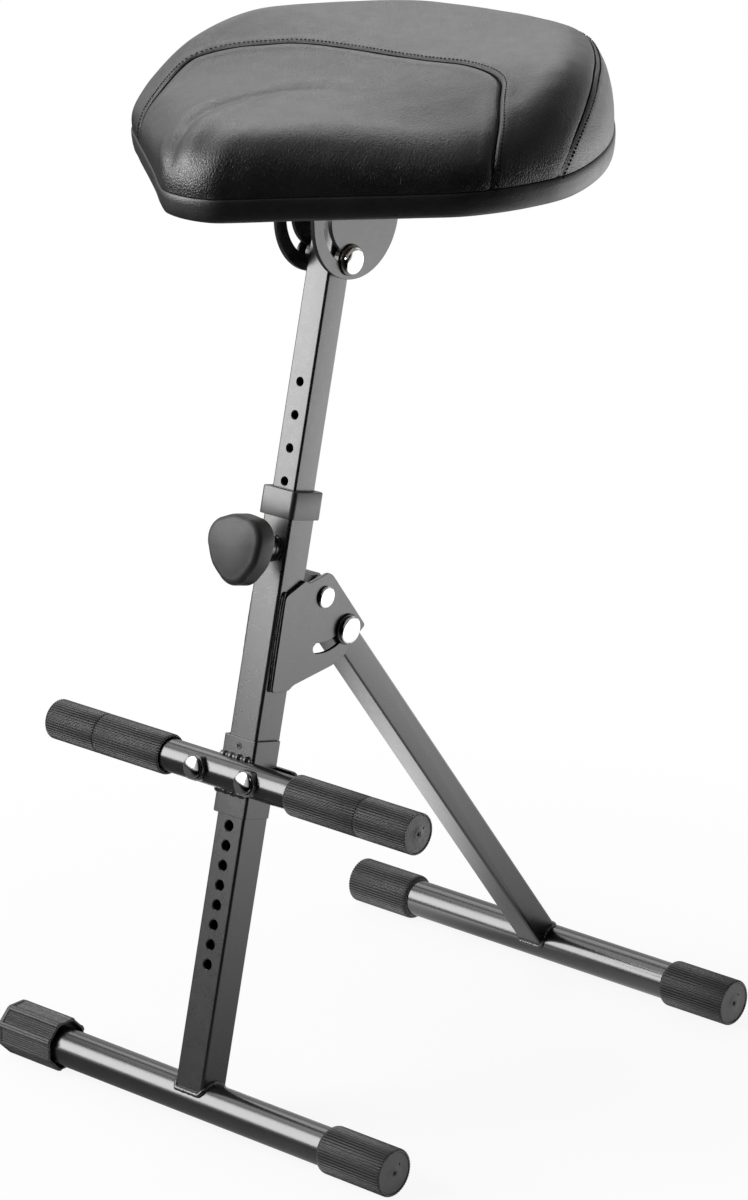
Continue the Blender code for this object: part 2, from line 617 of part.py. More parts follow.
# Seat bracket: two cheeks and a web under the board
web_top = RIM_RISE + BOARD_FLOOR - GAP
web_low = web_top - CHEEK_THICK
cheek_arc = [polar(HINGE_RADIUS, math.pi + math.pi * i / FINE) for i in range(FINE + 1)]
cheek_outline = cheek_arc + [(HINGE_RADIUS, web_top), (-HINGE_RADIUS, web_top)]
bracket = prism("seat_bracket", cheek_outline, -cheek_out, cheek_out, SEAT @ YZ_TO_XY, "coat")
room = rectangle(-2 * HINGE_RADIUS, 2 * HINGE_RADIUS, -2 * HINGE_RADIUS, web_low)
cut(bracket, prism("bracket_room", room, -CHEEK_INNER, CHEEK_INNER, SEAT @ YZ_TO_XY, None))
clamp_angle = -math.pi / 2 - LEAN - TILT
slot_ends = (clamp_angle - HINGE_SLOT_FRONT, clamp_angle + HINGE_SLOT_BACK)
hinge_slot = arc_slot(HINGE_ARM, HINGE_SLOT_WIDTH, *slot_ends)
cut(bracket, prism("bracket_slot", hinge_slot, -2 * cheek_out, 2 * cheek_out, SEAT @ YZ_TO_XY, None))
pocket = CHEEK_INNER + PIVOT_POCKET
drill(bracket, [along_x(SEAT, 0, 0)], PIVOT_PIN_DIA + 2 * GAP, -pocket, pocket)


def smooth(value):
    value = min(max(value, 0.0), 1.0)
    return value * value * (3.0 - 2.0 * value)


def seat_plan(count):
    """The whole plan at the trim line, evenly spaced along a smooth closed curve."""
    half = list(SEAT_HALF_PLAN)
    closed = half + [(-u, v) for u, v in reversed(half[1:-1])]
    dense = []
    for i, p1 in enumerate(closed):
        p0, p2, p3 = closed[i - 1], closed[(i + 1) % len(closed)], closed[(i + 2) % len(closed)]
        for step in range(PLAN_STEPS):
            t = step / PLAN_STEPS
            point = []
            for a, b, c, d in zip(p0, p1, p2, p3):
                point.append(0.5 * (2 * b + (c - a) * t + (2 * a - 5 * b + 4 * c - d) * t ** 2
                                    + (3 * b - a - 3 * c + d) * t ** 3))
            dense.append(tuple(point))
    lengths = [0.0]
    for i in range(len(dense)):
        lengths.append(lengths[-1] + math.dist(dense[i], dense[(i + 1) % len(dense)]))
    plan, at = [], 0
    for i in range(count):
        target = lengths[-1] * i / count
        while lengths[at + 1] < target:
            at += 1
        share = (target - lengths[at]) / (lengths[at + 1] - lengths[at])
        a, b = dense[at], dense[(at + 1) % len(dense)]
        plan.append((a[0] + (b[0] - a[0]) * share, a[1] + (b[1] - a[1]) * share))
    return plan


def inset(plan, amount):
    """The plan moved inward by an even amount."""
    moved = []
    for i, (u, v) in enumerate(plan):
        before, after = plan[i - 1], plan[(i + 1) % len(plan)]
        du, dv = after[0] - before[0], after[1] - before[1]
        size = math.hypot(du, dv)
        moved.append((u - dv / size * amount, v + du / size * amount))
    return moved


def cushion_level(u, v):
    """Height of the cover well inside its rounded edge: it rises to the back, and its front sides drop."""
    back = smooth((v - BACK_FROM) / BACK_RUN)
    sides = smooth((abs(u) - SIDE_FROM) / SIDE_RUN)
    return CUSHION_LEVEL + back * (BACK_RISE + SIDE_RISE * sides) - (1 - back) * SIDE_DROP * sides


plan = seat_plan(PLAN_SEGMENTS)
rim = RIM_RISE

# Seat board and its screws
board_plan = inset(plan, BAND_THICK + GAP)
board = prism("seat_board", board_plan, rim + BOARD_FLOOR, rim + BAND_HEIGHT, SEAT, "wood")
screw_frames = []
for end, v in (("front", -SCREW_V), ("back", SCREW_V)):
    for side, u in (("right", SCREW_U), ("left", -SCREW_U)):
        frame = SEAT @ Matrix.Translation((u, v, 0))
        screw_frames.append(frame)
        head_low = web_low - GAP - SCREW_HEAD
        screw_profile = [
            (SCREW_HEAD_DIA / 2 * SCREW_TIP, head_low),
            (SCREW_HEAD_DIA / 2, head_low + SCREW_HEAD * SCREW_FLANK),
            (SCREW_HEAD_DIA / 2, web_low - GAP), (SCREW_DIA / 2, web_low - GAP),
            (SCREW_DIA / 2, web_top + SCREW_GRIP),
        ]
        turned("seat_screw_" + end + "_" + side, screw_profile, frame, "zinc", HOLE_SEGMENTS)
drill(board, screw_frames, SCREW_DIA + 2 * GAP, rim, web_top + SCREW_GRIP + GAP)
drill(bracket, screw_frames, SCREW_DIA + 2 * GAP, web_low - CHEEK_THICK, web_top + CHEEK_THICK)

# Band round the board
band_steps = [(BAND_TAPER * drawn, BAND_HEIGHT * high) for drawn, high in BAND_SECTION]
band_steps = [(BAND_THICK, 0.0)] + band_steps + [(BAND_THICK, BAND_HEIGHT)]
band_loops = [[p + (rim + level,) for p in inset(plan, amount)] for amount, level in band_steps]
ring("seat_band", band_loops, SEAT, "hide")

# Cushion: rings drawn in from the trim line to the middle
cushion_floor = rim + BAND_HEIGHT + GAP
cushion_loops = []
for k in range(CUSHION_RINGS):
    drawn = (k / CUSHION_RINGS) ** RING_POWER
    loop = []
    for u, v in inset(plan, TRIM_INSET):
        reach = math.hypot(u, v - SEAT_CENTRE_V)
        depth = drawn * reach
        x, y = u * (1 - drawn), SEAT_CENTRE_V + (v - SEAT_CENTRE_V) * (1 - drawn)
        left = max(1 - depth / (CUSHION_ROUND + NOSE_ROUND * smooth(-v / NOSE_RUN)), 0.0)
        lift = (1 - left ** CUSHION_POWER) ** (1 / CUSHION_POWER)
        bulge = CUSHION_BULGE * math.sin(math.pi * min(lift, 1.0)) / reach
        level = cushion_floor + (rim + cushion_level(x, y) - cushion_floor) * lift
        loop.append((x + u * bulge, y + (v - SEAT_CENTRE_V) * bulge, level))
    cushion_loops.append(loop)
loft("seat_cushion", cushion_loops, SEAT, "hide")

# Pads under the board edge
for place, u, v in PAD_PLACES:
    for side, sign in (("right", 1), ("left", -1)):
        frame = SEAT @ Matrix.Translation((sign * u, v, 0))
        low = rim - PAD_THICK
        high = rim + BOARD_FLOOR - GAP
        pad_r, pad_edge = PAD_DIA / 2, PAD_THICK / 2
        pad_profile = [(pad_r - pad_edge, low), (pad_r, low + pad_edge), (pad_r, high)]
        turned("rim_pad_" + place + "_" + side, pad_profile, frame, "rubber", HOLE_SEGMENTS)

# Footrest sleeve, round the front and sides of the leg
sleeve_in = leg_half + GAP
sleeve_out = sleeve_in + SLEEVE_WALL
sleeve_outline = [
    (-sleeve_out, SLEEVE_FLANGE), (-sleeve_out, -sleeve_out),
    (sleeve_out, -sleeve_out), (sleeve_out, SLEEVE_FLANGE),
    (sleeve_in, SLEEVE_FLANGE), (sleeve_in, -sleeve_in),
    (-sleeve_in, -sleeve_in), (-sleeve_in, SLEEVE_FLANGE),
]
sleeve = prism("footrest_sleeve", sleeve_outline, SLEEVE_FOOT, SLEEVE_TOP, LEG, "coat")
stud_frame = to_front(LEG, 0, ROW_TOP)
drill(sleeve, [stud_frame], STUD_DIA + 2 * GAP, sleeve_in - GAP, sleeve_out + GAP)
stud_profile = [
    (STUD_DIA / 2, sleeve_in), (STUD_DIA / 2, sleeve_out),
    (STUD_DIA / 2 * STUD_TIP, sleeve_out + STUD_PROUD),
]
turned("locating_stud", stud_profile, stud_frame, "coat", HOLE_SEGMENTS)

# Footrest tube, notched over the sleeve
rest_axis = along_x(LEG, REST_N, REST_S)
rest_r = REST_TUBE_DIA / 2
rest_tube_half = REST_HALF - GRIP_END - GAP
rest_profile = [(rest_r, -rest_tube_half), (rest_r, rest_tube_half)]
rest_tube = bored("footrest_tube", rest_profile, rest_r - REST_TUBE_WALL, rest_axis, "coat", FINE)
notch_half = sleeve_out + GAP
notch = rectangle(-notch_half, notch_half, -notch_half, REST_TUBE_DIA)
cut(rest_tube, prism("rest_notch", notch, SLEEVE_FOOT, SLEEVE_TOP, LEG, None))
bolt_frames = [to_front(LEG, x, REST_S) for x in (REST_BOLT_X, -REST_BOLT_X)]
drill(rest_tube, bolt_frames, REST_BOLT_DIA + 2 * GAP, -REST_TUBE_DIA, 2 * REST_TUBE_DIA)

# Grips: an end cap and a sleeve on each side
grip_bore = rest_r + GAP
cap_start = REST_HALF - GRIP_CAP_LENGTH
for side, frame in (("right", rest_axis), ("left", mirrored(rest_axis))):
    cap_frame = frame @ Matrix.Translation((0, 0, cap_start))
    blind_cap("grip_cap_" + side, GRIP_DIA, GRIP_CAP_LENGTH, grip_bore, GRIP_END, cap_frame, "rubber")
    low, high = cap_start - GAP - GRIP_SLEEVE_LENGTH, cap_start - GAP
    grip_r = GRIP_DIA / 2
    grip_profile = [(grip_r - GRIP_EDGE / 2, low), (grip_r, low + GRIP_EDGE), (grip_r, high - GRIP_EDGE / 3)]
    grip_profile += [(grip_r - GRIP_EDGE / 3, high)]
    bored("grip_sleeve_" + side, grip_profile, grip_bore, frame, "rubber", FINE)

# Footrest bolts, their collars, the clamp bar and the nuts
rest_front = rest_r - REST_N
collar_front = rest_front + HEX_COLLAR_PROUD
bar_in = leg_half + 2 * GAP
bar_out = bar_in + BAR_THICK
rest_nut_in = bar_out + GAP
rest_nut_out = rest_nut_in + REST_NUT
for side, frame in zip(("right", "left"), bolt_frames):
    collar_low = rest_front - HEX_COLLAR_SKIRT
    collar = prism("bolt_collar_" + side, hexagon(HEX_COLLAR_DIA), collar_low, collar_front, frame, "plastic")
    saddle_profile = [(rest_r + GAP, -REST_HALF), (rest_r + GAP, REST_HALF)]
    cut(collar, turned("collar_saddle_" + side, saddle_profile, rest_axis, None, FINE))
    drill(collar, [frame], REST_BOLT_DIA + 2 * GAP, 0.0, collar_front + REST_TUBE_DIA)
    bolt_shape = dome(REST_BOLT_DIA, -rest_nut_out, REST_HEAD_DIA, collar_front + GAP, REST_HEAD)
    turned("footrest_bolt_" + side, bolt_shape, frame, "chrome")
    nut = prism("footrest_nut_" + side, hexagon(REST_NUT_DIA), -rest_nut_out, -rest_nut_in, frame, "zinc")
    drill(nut, [frame], REST_BOLT_DIA + 2 * GAP, -rest_nut_out - GAP, -rest_nut_in + GAP)
bar_half = REST_BOLT_X + BAR_OVERHANG
bar_outline = rectangle(-bar_half, bar_half, bar_in, bar_out)
bar = prism("clamp_bar", bar_outline, REST_S - BAR_HEIGHT / 2, REST_S + BAR_HEIGHT / 2, LEG, "coat")
drill(bar, bolt_frames, REST_BOLT_DIA + 2 * GAP, -2 * bar_out, 0.0)
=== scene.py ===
"""Sit-stand stool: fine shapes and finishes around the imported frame, in soft studio light.

Sizes are in millimetres. X runs along the base tubes, the front is -Y and Z is up.
"""
import json
from math import atan2, cos, exp, hypot, pi, radians, sin, sqrt, tan

import bmesh
import bpy
from mathutils import Matrix, Vector, kdtree, noise
from mathutils.bvhtree import BVHTree


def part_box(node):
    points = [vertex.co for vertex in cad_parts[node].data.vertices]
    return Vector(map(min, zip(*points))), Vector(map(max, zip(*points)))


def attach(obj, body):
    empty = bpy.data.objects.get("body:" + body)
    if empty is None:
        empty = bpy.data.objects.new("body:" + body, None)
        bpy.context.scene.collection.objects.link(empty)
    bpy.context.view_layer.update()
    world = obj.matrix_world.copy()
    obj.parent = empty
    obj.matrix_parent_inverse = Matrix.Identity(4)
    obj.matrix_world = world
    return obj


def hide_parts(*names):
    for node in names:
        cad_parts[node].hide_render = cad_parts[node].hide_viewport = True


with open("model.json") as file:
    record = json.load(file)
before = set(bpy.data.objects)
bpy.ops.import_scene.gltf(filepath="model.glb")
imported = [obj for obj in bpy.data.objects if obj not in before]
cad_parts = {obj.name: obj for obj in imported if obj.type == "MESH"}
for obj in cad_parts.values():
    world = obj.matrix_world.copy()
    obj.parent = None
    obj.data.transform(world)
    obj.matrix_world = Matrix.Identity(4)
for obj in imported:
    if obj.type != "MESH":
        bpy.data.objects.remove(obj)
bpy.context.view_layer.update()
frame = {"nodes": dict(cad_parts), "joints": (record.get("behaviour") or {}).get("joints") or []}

MM = 0.001
ROUND = 72
CORNER_STEPS = 8
JOINTS = {joint["name"]: joint for joint in frame["joints"]}


def span(node, axis):
    low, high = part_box(node)
    return (high[axis] - low[axis]) / MM


def middle(node):
    low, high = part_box(node)
    return (low + high) / 2 / MM


def place(joint):
    return Vector(JOINTS[joint]["pos_m"]) / MM


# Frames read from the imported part
UP = Vector(JOINTS["height_slide"]["axis"])
LEAN = atan2(UP.y, UP.z)
TILT = radians(3.6)
FRONT_AXIS, REAR_AXIS = middle("front_base_tube"), middle("rear_base_tube")
WORLD = Matrix.Identity(4)
LEG = Matrix.Translation(FRONT_AXIS) @ Matrix.Rotation(-LEAN, 4, "X")
FOLD_POINT = place("rear_leg_fold")
FOLD = Matrix.Translation(FOLD_POINT) @ Matrix.Rotation(-LEAN, 4, "X")
STRUT_RUN = REAR_AXIS - FOLD_POINT
STRUT_LENGTH = hypot(STRUT_RUN.y, STRUT_RUN.z)
STRUT_LEAN = atan2(STRUT_RUN.y, -STRUT_RUN.z)
STRUT = Matrix.Translation(FOLD_POINT) @ Matrix.Rotation(pi + STRUT_LEAN, 4, "X")
SEAT = Matrix.Translation(place("seat_tilt")) @ Matrix.Rotation(TILT, 4, "X")
YZ_TO_XY = Matrix(((0, 0, 1, 0), (1, 0, 0, 0), (0, 1, 0, 0), (0, 0, 0, 1)))

# Sizes of the tubes and their hardware
GAP = 0.3
LEG_SIDE, LEG_WALL, LEG_CORNER, LEG_TOP = span("main_leg", 0), 2.0, 2.5, 510.0
POST_SIDE, POST_CORNER, POST_FOOT, HINGE_S = span("seat_post", 0), 2.0, 330.0, 738.0
POST_TOP, POST_HOLE_PITCH, POST_HOLES, POST_HOLE_DIA = HINGE_S + 15.0, 27.2, 10, 6.5
LOCK_S = LEG_TOP - 46.2
POST_TOP_HOLE = LOCK_S + 5 * POST_HOLE_PITCH
ROW_TOP, ROW_PITCH, ROW_HOLES, ROW_HOLE_DIA = 299.0, 16.75, 12, 8.5
HOLE_CHAMFER = 0.8
KNOB_TURN = radians(9.0)
STRUT_SIDE, STRUT_ABOVE = span("strut_tube", 0), 14.0
TUBE_DIA, TUBE_WALL = span("front_base_tube", 2), 2.0
CAP_DIA, CAP_LENGTH, CAP_END, CAP_EDGE = span("rear_cap_right", 2), 68.5, 4.5, 4.0
CAP_RIBS, CAP_RIB, GRIP_RIBS, GRIP_RIB, GRIP_EDGE = 48, 1.6, 44, 1.5, 1.6
BASE_HALF = 215.0
REST_N, REST_S, REST_DIA, REST_HALF = -20.0, 275.0, 28.0, 199.7
GRIP_DIA, GRIP_CAP, GRIP_SLEEVE, GRIP_END = 34.5, 55.0, 74.7, 4.5
REST_BOLT_X = 28.0
SLEEVE_FOOT, SLEEVE_TOP, SLEEVE_WALL, SLEEVE_FLANGE, SLEEVE_BEND = 241.0, 306.0, 2.5, 12.0, 2.4
PLATE_THICK, SLOT_RADIUS, SLOT_WIDTH = 3.0, 43.0, 8.8
PLATE_OUTLINE = (
    (-48.7, 0.2), (-26.5, 13.7), (-22.1, 11.5), (-0.3, 20.2), (5.8, 18.3), (56.7, -24.2),
    (51.1, -29.4), (34.7, -50.9), (22.7, -57.5), (-22.7, -73.6), (-27.2, -78.0), (-47.7, -79.7),
)
HINGE_ARM, HINGE_RADIUS, CHEEK_INNER, CHEEK_THICK = 35.0, 51.0, 18.0, 4.0
WASHER_DIA, WASHER_BORE, WASHER_THICK, WASHER_EDGE = 26.0, 4.3, 2.0, 0.8
BOLT_SHAFT, BOLT_DOME, NUT_DIA = 8.0, 0.3, 17.0
REST_BOLT_SHAFT, REST_BOLT_HEAD, REST_BOLT_DOME, REST_BORE, CLAMP_THICK = 6.0, 18.6, 0.40, 3.3, 4.4
KNOB_STANDOFF, KNOB_THICK, KNOB_EDGE, KNOB_DOME = 41.0, 25.0, 5.5, 2.2
LOBE_OUT, LOBE_RADIUS, LOBE_SPREAD, KNOB_SIDE = 12.6, 18.3, radians(48.0), 27.2
BOSS_RADIUS = 10.0
SLOT_BACK, SLOT_FRONT = radians(6.0), radians(85.0)

# Seat sizes
RIM, BAND_HEIGHT, BAND_THICK, BOARD_FLOOR = 36.4, 20.0, 5.0, 4.0
SEAT_HALF_PLAN = (
    (0.0, -175.0), (24.0, -171.0), (43.0, -158.0), (68.0, -137.0), (102.0, -110.0), (148.0, -74.0),
    (181.0, -45.0), (205.0, -1.0), (212.0, 48.0), (189.0, 115.0), (143.0, 180.0), (88.0, 228.0), (0.0, 242.0),
)
SEAT_CENTRE_V = 25.0
CUSHION_LEVEL, CUSHION_ROUND, CUSHION_POWER, CUSHION_BULGE = 66.0, 46.0, 2.4, 1.0
NOSE_ROUND, NOSE_RUN = 14.0, 120.0
BACK_RISE, BACK_FROM, BACK_RUN = 20.0, -54.0, 162.0
SIDE_RISE, SIDE_DROP, SIDE_FROM, SIDE_RUN = 6.0, 14.0, 40.0, 150.0
COVER_SEGMENTS, COVER_RINGS, RING_POWER, COVER_INSET = 960, 190, 1.5, 1.0
# Seams as places (u, v) across the seat with their height above its rim
PANEL_SEAM = (
    (-136, -87, 20), (-134, -84, 34), (-136, -76, 42), (-144, -52, 51), (-157, -18, 58), (-160, 6, 65),
    (-150, 20, 70), (-131, 32, 75), (-105, 43, 79), (-83, 52, 80), (-55, 57, 81), (-24, 59, 81), (15, 60, 82),
    (48, 62, 82), (80, 65, 83), (103, 62, 83), (122, 56, 82), (137, 46, 79), (152, 26, 72), (173, -1, 61),
    (186, -22, 44), (190, -32, 20),
)
END_HALF = (
    (0, 222, 78), (60, 214, 79), (113, 190, 77), (148, 152, 76), (175, 116, 74), (198, 78, 62), (210, 45, 43),
    (213, 24, 20),
)
END_SEAM = [(-u, v, w) for u, v, w in reversed(END_HALF[1:])] + list(END_HALF)
SEAM_DEPTH, SEAM_WIDTH, SEAM_BEAD = 1.7, 1.7, 0.75
PUFF_RISE, PUFF_REACH, PUFF_SPREAD = 0.5, 8.0, 5.0
STITCH_ASIDE, STITCH_PITCH, STITCH_LENGTH, STITCH_RADIUS = 5.0, 3.8, 2.6, 0.55
CREASE_DEPTH, EDGE_RINGS, EDGE_SHARE = 0.22, 18, 0.25
# A soft fold of the cover beside the nose: a valley with a rise on both sides
FOLD_LINE = (
    (-12, -170, 26), (-18, -163, 47), (-25, -144, 59), (-35, -121, 64), (-39, -91, 66), (-37, -56, 66),
    (-20, -28, 67), (20, -12, 68), (70, -6, 68),
)
FOLD_STEPS, FOLD_START, FOLD_FADE = 300, 40, 260
FOLD_DROP, FOLD_WIDTH = 2.2, 6.0
FOLD_RISE, FOLD_REACH, FOLD_SPREAD = 1.9, 17.0, 10.0


# Mesh helpers
def polar(radius, angle):
    return (radius * cos(angle), radius * sin(angle))


def quarter(steps, first=0):
    """Cosine and sine at equal steps of a quarter turn."""
    return [polar(1.0, step / steps * pi / 2) for step in range(first, steps + 1)]


def arc(centre, radius, turns):
    return [(centre[0] + x, centre[1] + y) for x, y in (polar(radius, turn) for turn in turns)]


def smooth(value):
    value = min(max(value, 0.0), 1.0)
    return value * value * (3.0 - 2.0 * value)


def build(name, points, faces, at=WORLD):
    mesh = bpy.data.meshes.new(name)
    mesh.from_pydata([(at @ Vector(p)) * MM for p in points], [], faces)
    shell = bmesh.new()
    shell.from_mesh(mesh)
    bmesh.ops.recalc_face_normals(shell, faces=shell.faces)
    shell.to_mesh(mesh)
    shell.free()
    obj = bpy.data.objects.new(name, mesh)
    bpy.context.scene.collection.objects.link(obj)
    return obj


def rows(loops, ring=False):
    """Points and faces that join equal loops: capped at both ends, or closed into a ring."""
    size = len(loops[0])
    points = [p for loop in loops for p in loop]
    last = len(loops) if ring else len(loops) - 1
    faces = [] if ring else [tuple(range(size)), tuple(range(len(points) - size, len(points)))]
    for row in range(last):
        low, high = row * size, (row + 1) % len(loops) * size
        for i in range(size):
            j = (i + 1) % size
            faces.append((low + i, low + j, high + j, high + i))
    return points, faces


def loft(name, loops, at=WORLD, ring=False):
    return build(name, *rows(loops, ring), at)


def circle(radius, level, segments=ROUND):
    return [polar(radius, 2 * pi * (i + 0.5) / segments) + (level,) for i in range(segments)]


def lathe(name, profile, at, ring=False, segments=ROUND):
    return loft(name, [circle(r, a, segments) for r, a in profile], at, ring)


def lift(outline, level):
    return [tuple(p) + (level,) for p in outline]


def prism(name, outline, low, high, at):
    return loft(name, [lift(outline, low), lift(outline, high)], at)


def rounded_square(half, radius):
    outline = []
    for corner in range(4):
        turn = corner * pi / 2
        turns = [turn + step * pi / 2 / CORNER_STEPS for step in range(CORNER_STEPS + 1)]
        outline += arc(polar((half - radius) * sqrt(2), turn + pi / 4), radius, turns)
    return outline


def fillet(corners, radius, steps=5):
    """Rounds each corner of an outline by a short curve."""
    outline = []
    for i, corner in enumerate(corners):
        corner = Vector(corner)
        before, after = Vector(corners[i - 1]) - corner, Vector(corners[(i + 1) % len(corners)]) - corner
        reach = min(radius, before.length / 2.2, after.length / 2.2)
        start, stop = corner + before.normalized() * reach, corner + after.normalized() * reach
        for step in range(steps + 1):
            t = step / steps
            outline.append(tuple(start * (1 - t) ** 2 + corner * 2 * t * (1 - t) + stop * t ** 2))
    return outline


def arc_slot(radius, width, start, stop, steps=24, ends=10):
    half = width / 2
    turns = [start + (stop - start) * i / steps for i in range(steps + 1)]
    outline = [polar(radius + half, turn) for turn in turns]
    for centre_angle, first in ((stop, stop), (start, start + pi)):
        outline += arc(polar(radius, centre_angle), half, [first + pi * i / ends for i in range(1, ends)])
        if centre_angle == stop:
            outline += [polar(radius - half, turn) for turn in reversed(turns)]
    return outline


def bake(obj):
    """Replaces an object's mesh by what its modifiers make of it."""
    evaluated = obj.evaluated_get(bpy.context.evaluated_depsgraph_get())
    mesh = bpy.data.meshes.new_from_object(evaluated)
    obj.modifiers.clear()
    obj.data = mesh
    return obj


def carve(obj, *cutters):
    for cutter in cutters:
        modifier = obj.modifiers.new("carve", "BOOLEAN")
        modifier.operation, modifier.solver, modifier.object = "DIFFERENCE", "EXACT", cutter
    bpy.context.view_layer.update()
    bake(obj)
    for cutter in cutters:
        bpy.data.objects.remove(cutter, do_unlink=True)
    return obj


def soften(obj, width, steps=3):
    """Rounds the sharp edges."""
    modifier = obj.modifiers.new("soften", "BEVEL")
    modifier.width, modifier.segments = width * MM, steps
    modifier.limit_method, modifier.angle_limit = "ANGLE", radians(40)
    modifier.harden_normals = True
    obj.data.shade_smooth()
    bpy.context.view_layer.update()
    return bake(obj)


def shade(obj, angle=35):
    obj.data.shade_smooth()
    obj.data.set_sharp_from_angle(angle=radians(angle))
    return obj


def along_x(at, n, s):
    return at @ Matrix.Translation((0, n, s)) @ Matrix.Rotation(pi / 2, 4, "Y")


def mirrored(at):
    return at @ Matrix.Rotation(pi, 4, "X")


def to_front(at, x, s):
    return at @ Matrix.Translation((x, 0, s)) @ Matrix.Rotation(pi / 2, 4, "X")


def curve_through(points, count, closed=False):
    """Evenly spaced points on a smooth curve through the given ones."""
    points = [Vector(p) for p in points]
    size = len(points)
    dense = []
    for i in range(size if closed else size - 1):
        near = [(i + k) % size if closed else min(max(i + k, 0), size - 1) for k in (-1, 0, 1, 2)]
        p0, p1, p2, p3 = (points[k] for k in near)
        for step in range(40):
            t = step / 40
            dense.append(0.5 * (2 * p1 + (p2 - p0) * t + (2 * p0 - 5 * p1 + 4 * p2 - p3) * t ** 2
                                + (3 * p1 - p0 - 3 * p2 + p3) * t ** 3))
    dense.append(points[0] if closed else points[-1])
    lengths = [0.0]
    for a, b in zip(dense, dense[1:]):
        lengths.append(lengths[-1] + (b - a).length)
    out, at = [], 0
    for i in range(count):
        target = lengths[-1] * i / (count if closed else count - 1)
        while at < len(dense) - 2 and lengths[at + 1] < target:
            at += 1
        share = (target - lengths[at]) / max(lengths[at + 1] - lengths[at], 1e-9)
        out.append(dense[at].lerp(dense[at + 1], share))
    return out


def bead(name, path, radius, sides=12, ripple=0.0, pitch=4.0, closed=False):
    """A tube along a path, with the ripples of a weld where they are asked for."""
    loops = []
    run = 0.0
    size = len(path)
    for i, p in enumerate(path):
        before = path[i - 1] if closed or i else p
        after = path[(i + 1) % size] if closed or i < size - 1 else p
        along = (after - before).normalized()
        side = along.cross(Vector((0.31, 0.57, 0.76))).normalized()
        top = side.cross(along)
        if i:
            run += (p - path[i - 1]).length
        swell = radius * (1 + ripple * sin(2 * pi * run / pitch) + ripple * noise.noise(p * 0.35))
        if not closed and (i == 0 or i == size - 1):
            swell *= 0.35
        loops.append([tuple(p + (side * cos(a) + top * sin(a)) * swell)
                      for a in (2 * pi * k / sides for k in range(sides))])
    return shade(loft(name, loops, WORLD, ring=closed), 60)


# Shader nodes
def add(tree, kind, *sources, **settings):
    """A node with its settings; each of its first inputs is linked to a source or set to a value."""
    made = tree.nodes.new("ShaderNode" + kind)
    for key, value in settings.items():
        setattr(made, key, value)
    for socket, source in zip(made.inputs, sources):
        if isinstance(source, bpy.types.NodeSocket):
            tree.links.new(source, socket)
        elif source is not None:
            socket.default_value = source
    return made


def maths(tree, operation, *sources, **settings):
    return add(tree, "Math", *sources, operation=operation, **settings).outputs[0]


def measured(tree, operation, *sources):
    """One number from vectors: their dot product, their distance or a length."""
    return add(tree, "VectorMath", *sources, operation=operation).outputs["Value"]


def ramped(tree, source, start, stop, low, high, form="SMOOTHSTEP"):
    """A change from one value to another while the source goes from start to stop."""
    made = add(tree, "MapRange", source, start, stop, low, high, interpolation_type=form)
    return made.outputs["Result"]


